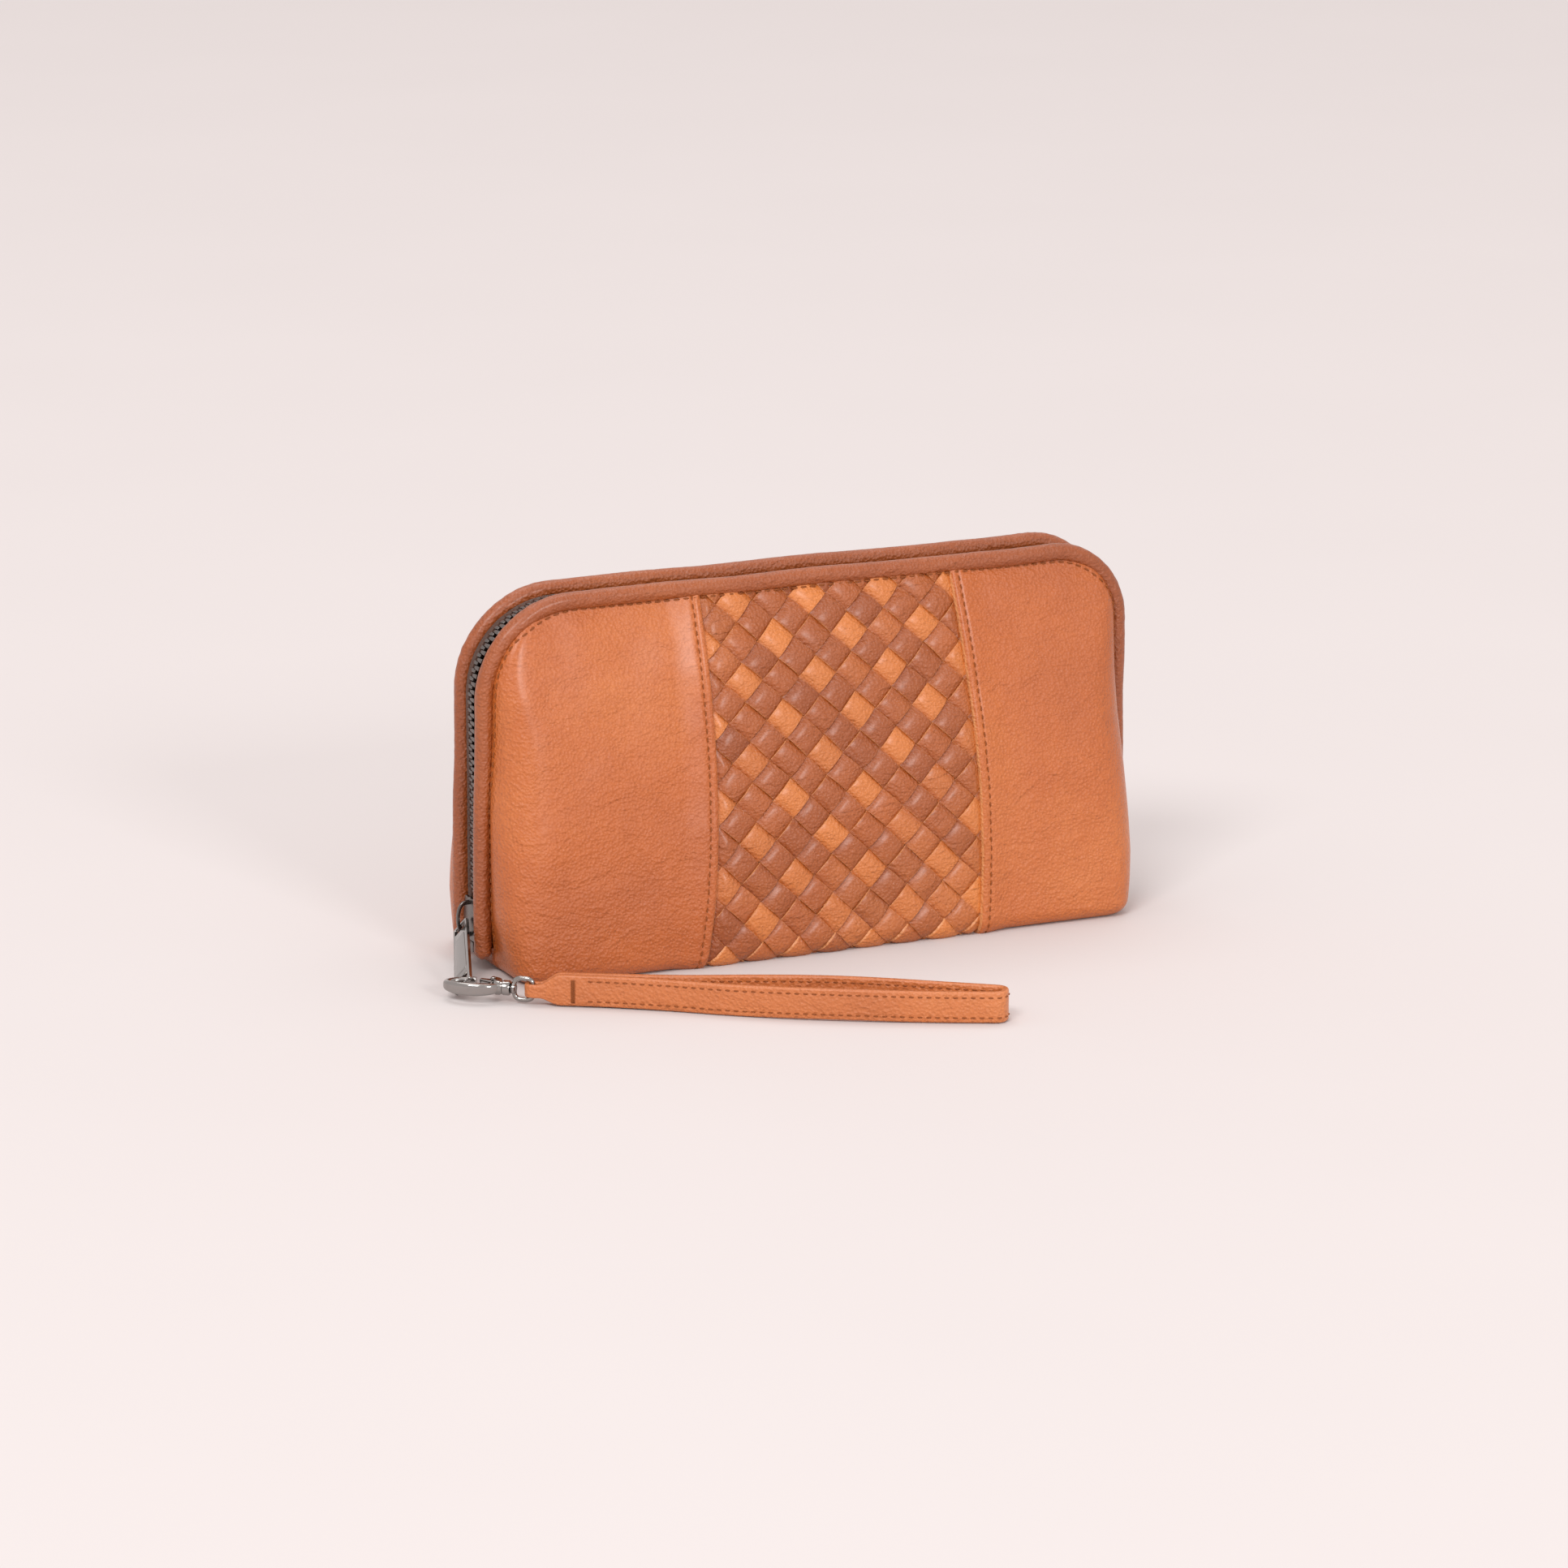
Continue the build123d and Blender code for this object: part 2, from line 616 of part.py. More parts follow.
# ---------------------------------------------------------------- coin pouch
def make_coin_pouch():
    depth = COIN_DEPTH
    height = COIN_TOP - COIN_BOTTOM
    middle = (COIN_TOP + COIN_BOTTOM) / 2
    with BuildPart() as pouch:
        with Locations((0, 0, middle)):
            Box(COIN_WIDTH, depth, height)
        with Locations((0, 0, middle + COIN_WALL)):
            Box(COIN_WIDTH - 2 * COIN_WALL, depth - 2 * COIN_WALL, height, mode=Mode.SUBTRACT)
    save(pouch, "coin_pouch")
    with BuildPart() as tape:
        for y in (-1, 1):
            with Locations((0, y * 2.75, COIN_ZIP_Z)):
                Box(COIN_WIDTH, 1.5, 0.8)
    save(tape, "coin_zip_tape")
    with BuildPart() as teeth:
        for y, lead in ((-1, 0.0), (1, 0.5)):
            with GridLocations(COIN_PITCH, 1, COIN_TEETH, 1) as grid:
                starts = [place.position.X + lead * COIN_PITCH for place in grid]
            with Locations(*[(x, y * 0.95, COIN_ZIP_Z) for x in starts]):
                Box(0.75, 2.0, 1.6)
    save(teeth, "coin_zip_teeth")


def make_coin_slider():
    level = COIN_ZIP_Z
    with BuildPart() as slider:
        with BuildSketch(Plane.XY.offset(level + 1.0)) as plate:
            with Locations((COIN_SLIDER_X, 0)):
                Rectangle(8, 5.6)
            fillet(plate.vertices(), 1.2)
        extrude(amount=0.8)
        with BuildSketch(Plane.XZ) as crown:
            with Locations((COIN_SLIDER_X, level + 3.1)):
                Rectangle(5.4, 2.8)
            fillet(crown.vertices().group_by(Axis.Y)[-1], 1.1)
            with Locations((COIN_SLIDER_X, level + 2.65)):
                Rectangle(3.8, 1.9, mode=Mode.SUBTRACT)
        extrude(amount=0.7, both=True)
    save(slider, "coin_zip_slider")
    with BuildPart() as pull:
        with BuildSketch(Plane.XY.offset(level + 2.3)):
            with Locations((COIN_SLIDER_X - COIN_PULL_LENGTH / 2 + 0.5, 0)):
                RectangleRounded(COIN_PULL_LENGTH, 4.6, 1.4)
            with Locations((COIN_SLIDER_X - 1.9, 0)):
                Rectangle(2.6, 2.2, mode=Mode.SUBTRACT)
        extrude(amount=0.7)
    save(pull, "coin_zip_pull")


make_base()
make_panels()
make_boards()
make_linings()
make_bindings()
make_tapes()
make_teeth()
make_zip_ends()
make_pockets()
make_gussets()
make_coin_pouch()
make_coin_slider()
make_slider()
make_puller()
make_hook()
make_gate()
make_ring()
make_strap()
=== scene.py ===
"""Looks of the zip-around wallet: leather skins, woven panel, zip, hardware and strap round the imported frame.

Lengths inside the helpers are millimetres; the meshes are made in metres, in the frame's own axes.
"""
import json
import math
import random

import bmesh
import bpy
from mathutils import Matrix, Vector, noise
from mathutils.bvhtree import BVHTree


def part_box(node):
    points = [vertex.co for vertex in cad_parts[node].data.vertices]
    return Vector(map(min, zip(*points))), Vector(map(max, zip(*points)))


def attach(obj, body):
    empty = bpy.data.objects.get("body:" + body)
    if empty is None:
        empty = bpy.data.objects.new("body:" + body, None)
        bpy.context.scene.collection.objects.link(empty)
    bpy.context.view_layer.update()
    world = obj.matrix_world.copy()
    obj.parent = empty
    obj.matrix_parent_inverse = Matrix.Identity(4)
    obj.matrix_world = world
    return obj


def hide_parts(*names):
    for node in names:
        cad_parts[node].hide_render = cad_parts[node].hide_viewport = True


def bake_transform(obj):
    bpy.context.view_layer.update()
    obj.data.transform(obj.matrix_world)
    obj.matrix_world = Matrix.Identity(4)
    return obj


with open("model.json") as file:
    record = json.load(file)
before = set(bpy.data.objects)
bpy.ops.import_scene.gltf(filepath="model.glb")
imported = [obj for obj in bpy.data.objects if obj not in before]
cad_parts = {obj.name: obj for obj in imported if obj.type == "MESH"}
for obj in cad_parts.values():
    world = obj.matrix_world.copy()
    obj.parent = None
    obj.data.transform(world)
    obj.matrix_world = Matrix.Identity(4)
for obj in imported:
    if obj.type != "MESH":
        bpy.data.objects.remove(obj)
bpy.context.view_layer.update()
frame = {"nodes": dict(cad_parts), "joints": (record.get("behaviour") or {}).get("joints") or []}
random.seed(7)
MM = 0.001


# ---------------------------------------------------------------- sizes read from the frame
def box_mm(node):
    low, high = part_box(node)
    return low / MM, high / MM


def joint(name):
    """A joint's point and axis, in millimetres."""
    found = next(j for j in frame["joints"] if j["name"] == name)
    return Vector(found["pos_m"]) / MM, Vector(found["axis"]).normalized()


binding_low, binding_high = box_mm("front_binding")
woven_low, woven_high = box_mm("front_woven_panel")
panel_low, _ = box_mm("front_left_panel")
tape_low, tape_high = box_mm("front_zip_tape")
strap_low, strap_high = box_mm("wrist_strap")
_, base_high = box_mm("base_woven_panel")

TUBE = (binding_high.y - binding_low.y) / 2      # radius of the rolled binding
BINDING_Y = -(binding_high.y + binding_low.y) / 2
SIDE = binding_high.x - TUBE
CREST = binding_high.z - TUBE
CORNER = 25.2             # radius of the binding's top corners
FOLD_Z = (panel_low.z + base_high.z) / 2
EDGE_ROUND = 4.6          # radius of the turn from the underside to the faces
UNDER_BINDING = 0.9       # how far the skins run in under the binding
BASE_INSET = 1.2          # how much narrower the skins are at the base
SKIN = 1.5                # thickness of the leather panels
PANEL_X = -panel_low.x + UNDER_BINDING
PANEL_Z = woven_high.z + 2.9
PANEL_CORNER = CORNER - TUBE + UNDER_BINDING
SKIN_Y = BINDING_Y + 0.2
FACE_BOTTOM = -woven_low.y
FACE_SLOPE = 0.0727       # the face leans back by this share of its height
FACE_CURVE = 0.00141      # and by this much more with the height squared
CORNER_SHIFT = {-1: 3.0, 1: -4.0}    # left corner wider than the right one
LEAN, LEAN_FROM, LEAN_OVER = 1.3, 18, 66
TAPE_HALF = 0.4
TOOTH_PITCH = 2.3         # between teeth of one row
ROOT = math.sqrt(0.5)
ZIP_X = tape_high.x - TAPE_HALF
ZIP_Z = tape_high.z - TAPE_HALF
ZIP_CORNER = CORNER + TUBE - (SIDE + TUBE - ZIP_X)


def smooth(share):
    share = max(0.0, min(1.0, share))
    return share * share * (3 - 2 * share)


def lean_in(point):
    """The zip's side leans inwards a little towards the top."""
    rise = smooth((point.z - LEAN_FROM) / LEAN_OVER)
    return point + Vector((LEAN * rise * max(0.0, -point.x / SIDE), 0, 0))


def seam_left(z):
    """Woven panel's left edge at height z: upright above, drifting left towards the base."""
    low = max(0.0, 1 - z / 70)
    return woven_low.x + 5.6 - 7.0 * low * low


def seam_right(z):
    """Woven panel's right edge at height z, bowed outwards."""
    high = z / 100
    return woven_high.x + 0.5 + 11.0 * high * (1 - high) * (1 - 0.35 * high)


# ---------------------------------------------------------------- mesh helpers
def mesh_object(name, points, faces, material, attributes):
    """Mesh object in metres from millimetre points; attributes maps a name to one float per point."""
    mesh = bpy.data.meshes.new(name)
    mesh.from_pydata([tuple(Vector(p) * MM) for p in points], [], faces)
    for key, values in attributes.items():
        layer = mesh.attributes.new(key, "FLOAT", "POINT")
        layer.data.foreach_set("value", values)
    work = bmesh.new()
    work.from_mesh(mesh)
    bmesh.ops.dissolve_degenerate(work, dist=2e-6, edges=work.edges)
    bmesh.ops.recalc_face_normals(work, faces=work.faces)
    work.to_mesh(mesh)
    work.free()
    mesh.polygons.foreach_set("use_smooth", [True] * len(mesh.polygons))
    thing = bpy.data.objects.new(name, mesh)
    bpy.context.scene.collection.objects.link(thing)
    mesh.materials.append(material)
    return thing


class Pile:
    """Points and faces of one piece, gathered from many small parts."""

    def __init__(self):
        self.points = []
        self.faces = []
        self.values = {}

    def add(self, points, faces, **values):
        start = len(self.points)
        self.points.extend(points)
        self.faces.extend([tuple(i + start for i in face) for face in faces])
        for key, value in values.items():
            column = self.values.setdefault(key, [0.0] * start)
            column.extend([0.0] * (start - len(column)))
            column.extend(value if isinstance(value, list) else [value] * len(points))

    def make(self, name, material):
        for column in self.values.values():
            column.extend([0.0] * (len(self.points) - len(column)))
        return mesh_object(name, self.points, self.faces, material, self.values)


def grid_faces(rows, columns, wrap_rows=False, wrap_columns=False):
    faces = []
    for r in range(rows if wrap_rows else rows - 1):
        for c in range(columns if wrap_columns else columns - 1):
            r2, c2 = (r + 1) % rows, (c + 1) % columns
            faces.append((r * columns + c, r * columns + c2, r2 * columns + c2, r2 * columns + c))
    return faces


def grid_normals(grid):
    """Unit normals of a grid of points, pointing away from the wallet's middle."""
    rows, columns = len(grid), len(grid[0])
    normals = []
    for r in range(rows):
        line = []
        for c in range(columns):
            along = grid[min(r + 1, rows - 1)][c] - grid[max(r - 1, 0)][c]
            across = grid[r][min(c + 1, columns - 1)] - grid[r][max(c - 1, 0)]
            line.append(along.cross(across).normalized())
        normals.append(line)
    middle = grid[rows // 2][columns // 2]
    if normals[rows // 2][columns // 2].dot(middle - Vector((0, 0, 50))) < 0:
        normals = [[-n for n in line] for line in normals]
    return normals


def skin_mesh(pile, grid, normals, outer, thickness, **values):
    """Closed leather sheet: outer(r, c) lifts the outside along the normals, the inside lies below it."""
    rows, columns = len(grid), len(grid[0])
    top, under = [], []
    for r in range(rows):
        for c in range(columns):
            lift = outer(r, c)
            top.append(grid[r][c] + normals[r][c] * lift)
            under.append(grid[r][c] + normals[r][c] * (min(lift, 0.0) - thickness))
    count = rows * columns
    faces = grid_faces(rows, columns)
    faces += [tuple(i + count for i in reversed(face)) for face in grid_faces(rows, columns)]
    ring = list(range(columns))
    ring += [r * columns + columns - 1 for r in range(1, rows)]
    ring += [(rows - 1) * columns + c for c in range(columns - 2, -1, -1)]
    ring += [r * columns for r in range(rows - 2, 0, -1)]
    for a, b in zip(ring, ring[1:] + ring[:1]):
        faces.append((b, a, a + count, b + count))
    pile.add(top + under, faces, **{k: v + v for k, v in values.items()})


def sweep(path, section, closed=False, up=Vector((0, 0, 1))):
    """Points and faces of a tube; section(k, t) gives (side, up) pairs round the k-th point."""
    count = len(path)
    points = []
    rings = 0
    for k, here in enumerate(path):
        ahead = path[(k + 1) % count] if closed or k < count - 1 else here
        behind = path[k - 1] if closed or k > 0 else here
        tangent = (ahead - behind).normalized()
        side = tangent.cross(up)
        side = side.normalized() if side.length > 1e-6 else tangent.orthogonal().normalized()
        rise = side.cross(tangent)
        ring = section(k, k / max(count - 1, 1))
        rings = len(ring)
        points.extend(here + side * a + rise * b for a, b in ring)
    faces = grid_faces(count, rings, wrap_rows=closed, wrap_columns=True)
    if not closed:
        faces.append(tuple(range(rings)))
        faces.append(tuple((count - 1) * rings + i for i in reversed(range(rings))))
    return points, faces


def circle(radius, sides=12):
    return [(radius * math.cos(i * math.tau / sides), radius * math.sin(i * math.tau / sides))
            for i in range(sides)]


def rounded(width, height, radius, steps=3):
    """Rounded rectangle as (side, up) pairs."""
    corners = [(1, 1, 0), (-1, 1, 1), (-1, -1, 2), (1, -1, 3)]
    ring = []
    for sx, sy, quarter in corners:
        for i in range(steps + 1):
            angle = (quarter + i / steps) * math.pi / 2
            x = sx * (width / 2 - radius) + radius * math.cos(angle)
            y = sy * (height / 2 - radius) + radius * math.sin(angle)
            ring.append((x, y))
    return ring


def resample(path, step, closed=False):
    """Points at even steps along a polyline."""
    line = path + path[:1] if closed else path
    lengths = [0.0]
    for a, b in zip(line, line[1:]):
        lengths.append(lengths[-1] + (b - a).length)
    count = max(2, round(lengths[-1] / step))
    out, k = [], 0
    for i in range(count if closed else count + 1):
        want = lengths[-1] * i / count
        while k < len(line) - 2 and lengths[k + 1] < want:
            k += 1
        share = (want - lengths[k]) / max(lengths[k + 1] - lengths[k], 1e-9)
        out.append(line[k].lerp(line[k + 1], min(1.0, share)))
    return out


def arch_path(half, top, radius, bottom, y, step=1.0):
    """Upright arch from the left foot over the top to the right foot."""
    path = [Vector((-half, y, bottom))]
    for side, start in ((-1, 180), (1, 90)):
        bend = radius + CORNER_SHIFT[side]
        for i in range(19):
            angle = math.radians(start - i * 5)
            path.append(Vector((side * (half - bend) + bend * math.cos(angle), y,
                                top - bend + bend * math.sin(angle))))
    path.append(Vector((half, y, bottom)))
    return resample(path, step)


# ---------------------------------------------------------------- materials
class Nodes:
    """Short way to build a procedural material."""

    def __init__(self, name):
        self.material = bpy.data.materials.new(name)
        self.material.use_nodes = True
        self.tree = self.material.node_tree
        self.shader = self.tree.nodes["Principled BSDF"]
        self.place = self.add("ShaderNodeTexCoord").outputs["Object"]

    def add(self, kind, **settings):
        node = self.tree.nodes.new(kind)
        for key, value in settings.items():
            setattr(node, key, value)
        return node

    def link(self, source, target):
        self.tree.links.new(source, target)

    def feed(self, socket, value):
        """A number or a colour is set on the socket; anything else is linked to it."""
        if isinstance(value, (int, float)):
            socket.default_value = value
        elif isinstance(value, tuple):
            socket.default_value = (*value, 1.0)
        else:
            self.link(value, socket)

    def noise(self, scale, detail=3.0, rough=0.5, distortion=0.0, stretch=None):
        node = self.add("ShaderNodeTexNoise")
        node.inputs["Scale"].default_value = scale
        node.inputs["Detail"].default_value = detail
        node.inputs["Roughness"].default_value = rough
        node.inputs["Distortion"].default_value = distortion
        self.link(self.mapped(stretch), node.inputs["Vector"])
        return node.outputs["Fac"]

    def mapped(self, stretch):
        if stretch is None:
            return self.place
        node = self.add("ShaderNodeMapping")
        node.inputs["Scale"].default_value = stretch
        self.link(self.place, node.inputs["Vector"])
        return node.outputs["Vector"]

    def cells(self, scale):
        node = self.add("ShaderNodeTexVoronoi")
        node.inputs["Scale"].default_value = scale
        self.link(self.place, node.inputs["Vector"])
        return node.outputs["Distance"]

    def ramp(self, value, stops):
        node = self.add("ShaderNodeValToRGB")
        ramp = node.color_ramp
        while len(ramp.elements) < len(stops):
            ramp.elements.new(0.5)
        for element, (place, color) in zip(ramp.elements, stops):
            element.position = place
            element.color = (*color, 1.0)
        self.link(value, node.inputs["Fac"])
        return node.outputs["Color"]

    def grey(self, value, low, high, out_low=0.0, out_high=1.0):
        node = self.add("ShaderNodeMapRange")
        for key, number in zip(("From Min", "From Max", "To Min", "To Max"), (low, high, out_low, out_high)):
            node.inputs[key].default_value = number
        self.link(value, node.inputs["Value"])
        return node.outputs["Result"]

    def mix(self, factor, a, b, kind="MIX"):
        node = self.add("ShaderNodeMix", data_type="RGBA", blend_type=kind)
        for value, index in ((factor, 0), (a, 6), (b, 7)):
            self.feed(node.inputs[index], value)
        return node.outputs[2]

    def math(self, operation, a, b):
        node = self.add("ShaderNodeMath", operation=operation)
        for value, index in ((a, 0), (b, 1)):
            self.feed(node.inputs[index], value)
        return node.outputs["Value"]

    def attribute(self, name):
        return self.add("ShaderNodeAttribute", attribute_name=name).outputs["Fac"]

    def bump(self, height, distance, strength=1.0, before=None):
        node = self.add("ShaderNodeBump")
        node.inputs["Strength"].default_value = strength
        node.inputs["Distance"].default_value = distance
        self.link(height, node.inputs["Height"])
        if before is not None:
            self.link(before, node.inputs["Normal"])
        return node.outputs["Normal"]

    def finish(self, color, roughness, normal=None, metallic=0.0, **sockets):
        for value, key in ((color, "Base Color"), (roughness, "Roughness")):
            self.feed(self.shader.inputs[key], value)
        if normal is not None:
            self.link(normal, self.shader.inputs["Normal"])
        self.shader.inputs["Metallic"].default_value = metallic
        for key, value in sockets.items():
            self.shader.inputs[key.replace("_", " ")].default_value = value
        return self.material


def leather(name, dark, middle, light, edge, crinkle=1.0, rough=(0.38, 0.55)):
    """Smooth aniline leather: mottled dye, fine grain, soft crinkles, paler raw edges; the tone attribute
    shifts the dye and also carries painted shade.
    """
    n = Nodes(name)
    mottle = n.noise(16, 5, 0.6)
    color = n.ramp(mottle, [(0.2, dark), (0.5, middle), (0.85, light)])
    fine = n.noise(520, 3, 0.6)
    color = n.mix(n.grey(fine, 0.4, 0.75, 0.0, 0.3), color, dark)
    # tone: positive darkens and negative lightens the dye. On the woven panels it also paints shade where
    # strips dive under and on the sheet behind them.
    tone = n.attribute("tone")
    color = n.mix(n.grey(tone, 0.0, 1.0), color, tuple(c * f for c, f in zip(dark, (0.84, 0.76, 0.55))))
    color = n.mix(n.grey(tone, 0.0, -1.0), color, light)
    color = n.mix(n.grey(n.attribute("edge"), 0.0, 1.0, 0.0, 0.85), color, edge)
    pores = n.cells(1100)
    creases = n.noise(230, 6, 0.68, 1.9, (1.0, 1.0, 2.4))
    folds = n.noise(60, 4, 0.6, 1.0, (1.0, 1.0, 1.7))
    normal = n.bump(folds, 0.0017 * crinkle, 0.7)
    normal = n.bump(creases, 0.00024 * crinkle, 0.7, normal)
    normal = n.bump(pores, 0.0004, 0.8, normal)
    roughness = n.grey(creases, 0.3, 0.7, rough[0], rough[1])
    return n.finish(color, roughness, normal, Specular_IOR_Level=0.5, Coat_Weight=0.35, Coat_Roughness=0.27)


def cloth(name, color, weave=1700):
    """Plain woven cloth; weave is the scale of its threads."""
    n = Nodes(name)
    threads = n.add("ShaderNodeTexWave", wave_type="BANDS", bands_direction="X")
    threads.inputs["Scale"].default_value = weave
    rows = n.add("ShaderNodeTexWave", wave_type="BANDS", bands_direction="Z")
    rows.inputs["Scale"].default_value = weave
    for node in (threads, rows):
        node.inputs["Distortion"].default_value = 0.6
        n.link(n.place, node.inputs["Vector"])
    both = n.math("MULTIPLY", threads.outputs["Fac"], rows.outputs["Fac"])
    shade = n.mix(n.grey(both, 0.0, 0.6), tuple(c * 0.6 for c in color), color)
    shade = n.mix(n.grey(n.noise(60, 3), 0.3, 0.7, 0.0, 0.3), shade, tuple(c * 0.7 for c in color))
    return n.finish(shade, 0.85, n.bump(both, 0.00012, 0.8), Sheen_Weight=0.25, Specular_IOR_Level=0.3)


def thread(name, color):
    n = Nodes(name)
    twist = n.add("ShaderNodeTexWave", wave_type="BANDS", bands_direction="DIAGONAL")
    twist.inputs["Scale"].default_value = 1500
    n.link(n.place, twist.inputs["Vector"])
    shade = n.mix(twist.outputs["Fac"], tuple(c * 0.55 for c in color), color)
    return n.finish(shade, 0.6, n.bump(twist.outputs["Fac"], 0.0001, 0.7), Specular_IOR_Level=0.3)


def metal(name, color, rough, scratch=0.08):
    """Plated metal with faint brushing and handling marks."""
    n = Nodes(name)
    brushed = n.noise(700, 4, 0.7, 0.0, (1.0, 1.0, 0.08))
    marks = n.noise(160, 5, 0.7)
    shade = n.mix(n.grey(marks, 0.45, 0.8, 0.0, 0.4), color, tuple(c * 0.62 for c in color))
    roughness = n.grey(brushed, 0.3, 0.75, rough, rough + scratch)
    return n.finish(shade, roughness, n.bump(brushed, 0.00002, 0.5), metallic=1.0)


TAN = leather("tan_leather_look", (0.370, 0.080, 0.013), (0.490, 0.118, 0.019), (0.620, 0.188, 0.044),
              (0.72, 0.33, 0.13), rough=(0.34, 0.5))
WOVEN = leather("woven_leather_look", (0.300, 0.068, 0.011), (0.425, 0.104, 0.018), (0.680, 0.215, 0.045),
                (0.72, 0.31, 0.12), crinkle=1.35, rough=(0.28, 0.46))
BINDING = leather("binding_leather_look", (0.250, 0.055, 0.010), (0.370, 0.086, 0.016), (0.490, 0.135, 0.032),
                  (0.58, 0.22, 0.09), crinkle=1.2, rough=(0.34, 0.5))
STRAP = leather("strap_leather_look", (0.440, 0.118, 0.029), (0.570, 0.168, 0.043), (0.680, 0.230, 0.070),
                (0.40, 0.12, 0.035), crinkle=0.9)
POCKET = leather("pocket_leather_look", (0.27, 0.085, 0.026), (0.36, 0.120, 0.038), (0.44, 0.16, 0.055),
                 (0.50, 0.22, 0.09), crinkle=0.6, rough=(0.5, 0.65))
LINING = cloth("lining_look", (0.34, 0.175, 0.080))
TAPE = cloth("zip_tape_look", (0.115, 0.045, 0.022), 2300)
BOARD = cloth("board_look", (0.40, 0.33, 0.25), 900)
THREAD = thread("thread_look", (0.36, 0.098, 0.022))
GUNMETAL = metal("gunmetal_look", (0.17, 0.155, 0.145), 0.24)
NICKEL = metal("polished_nickel_look", (0.36, 0.34, 0.325), 0.11, 0.07)


# ---------------------------------------------------------------- the halves' outer surface
def face_depth(z):
    """How far the front face stands from the wallet's middle plane at height z."""
    rise = max(0.0, z - FOLD_Z)
    return FACE_BOTTOM - FACE_SLOPE * rise - FACE_CURVE * rise * rise


def edge_turn():
    """(height, inset) pairs of the round turn from the underside to the faces."""
    turns = [math.radians(90 * i / 8) for i in range(9)]
    return [(EDGE_ROUND * (1 - math.cos(turn)), EDGE_ROUND * (1 - math.sin(turn))) for turn in turns]


EDGE_TURN = edge_turn()


def levels(side):
    """Rows of one side's skin as (height, half width, face depth), from under the base to the top."""
    bend = PANEL_CORNER + CORNER_SHIFT[side]
    start = PANEL_Z - bend
    rows = []
    for z, inset in EDGE_TURN:
        rows.append((z, PANEL_X - BASE_INSET - inset, FACE_BOTTOM - inset))
    z = EDGE_ROUND
    while z < start - 0.5:
        z += 0.45 if z < 9 else 1.15
        z = min(z, start)
        settle = min(1.0, (z - EDGE_ROUND) / 14)
        rows.append((z, PANEL_X - BASE_INSET * (1 - settle), face_depth(z)))
    for i in range(1, 31):
        turn = math.radians(3 * i)
        z = start + bend * math.sin(turn)
        rows.append((z, PANEL_X - bend * (1 - math.cos(turn)), face_depth(z)))
    return rows


LEVELS = {side: levels(side) for side in (-1, 1)}
CORNER_COLUMNS = 26
FACE_STEPS = 26


def corner_points(z, half, depth):
    """Left side of one row, from the binding round to the flat of the face, as (x, y) pairs."""
    deep = max(depth - SKIN_Y, 0.2)
    rise = min(1.0, z / 60)
    straight = deep * (0.58 - 0.46 * rise)
    across = (deep - straight) * (0.6 + 0.62 * min(1.0, z / 100))
    lean = straight * 0.03
    bulge = 1.9 * math.sin(math.pi * min(1.0, (z / 72) ** 0.75))
    row = []
    for i in range(9):
        share = i / 8
        out = bulge * smooth((share - 0.25) / 0.75)
        row.append((-half + lean * share - out, -SKIN_Y - straight * share))
    for i in range(1, CORNER_COLUMNS - 8):
        turn = math.radians(90 * i / (CORNER_COLUMNS - 9))
        x = -half + lean + across * (1 - math.cos(turn)) - bulge * math.cos(turn)
        row.append((x, -SKIN_Y - straight - (deep - straight) * math.sin(turn)))
    return row


def soften(point):
    """Small hand-made unevenness, the same for every layer at that place."""
    p = Vector(point) * 0.028
    shift = noise.noise(p) * 0.75 + noise.noise(p * 2.7 + Vector((5, 1, 2))) * 0.3
    fade = min(1.0, point[2] / 10)
    return point + Vector((0, -shift * fade, 0))


def eased(row, low, high):
    """Row with the turn from the side wall to the face evened out."""
    for _ in range(10):
        middle = [(row[k - 1] + row[k] * 2 + row[k + 1]) / 4 for k in range(low, high)]
        row = row[:low] + middle + row[high:]
    return row


SEAM_STEPS = (0.0, 0.12, 0.45, 1.0, 1.7, 2.4, 2.75, 3.1, 3.8, 5.0, 7.0, 10.0)
SEAM_LIFT = (-0.3, 0.45, 0.9, 1.12, 1.08, 0.9, 0.72, 0.88, 0.9, 0.72, 0.4, 0.0)


def face_columns(start, seam):
    """x of the columns from the corner to the seam, crowded where the seam's edge folds."""
    first = [seam - s for s in reversed(SEAM_STEPS)]
    run = [start + (first[0] - start) * i / FACE_STEPS for i in range(1, FACE_STEPS)]
    return run + first


def side_grid(side):
    """Grid of one plain panel; side -1 is the left one."""
    grid = []
    for z, half, depth in LEVELS[side]:
        row = [Vector((x, y, z)) for x, y in corner_points(z, half, depth)]
        seam = seam_left(z) if side < 0 else -seam_right(z)
        for x in face_columns(row[-1].x, seam):
            row.append(Vector((x, -depth, z)))
        row = eased(row, 5, CORNER_COLUMNS + 8)
        if side > 0:
            row = [Vector((-p.x, p.y, p.z)) for p in row]
        grid.append([lean_in(soften(p)) for p in row])
    return grid


def seam_lift(columns):
    """Lift of each column of a plain panel: its folded edge lies on the woven panel."""
    lifts = [0.0] * (columns - len(SEAM_LIFT))
    return lifts + list(reversed(SEAM_LIFT))


def mirrored(point):
    return Vector((point.x, -point.y, point.z))


def carry(thing, body, slot, *nodes):
    """Put a piece on its body and hide the CAD nodes it replaces; the slot is not used."""
    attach(thing, body)
    if nodes:
        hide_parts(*nodes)


def place_half(thing, half, slot, *nodes, below=1.9, above=2.1):
    """Bake the piece's placement into its mesh and hide the CAD nodes it replaces; half, slot, below and above
    are not used.
    """
    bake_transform(thing)
    if nodes:
        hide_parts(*nodes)


def for_half(pile, half):
    """The pile as modelled for the front, or mirrored for the rear."""
    if half == "rear":
        pile.points = [mirrored(p) for p in pile.points]
        pile.faces = [tuple(reversed(face)) for face in pile.faces]
    return pile


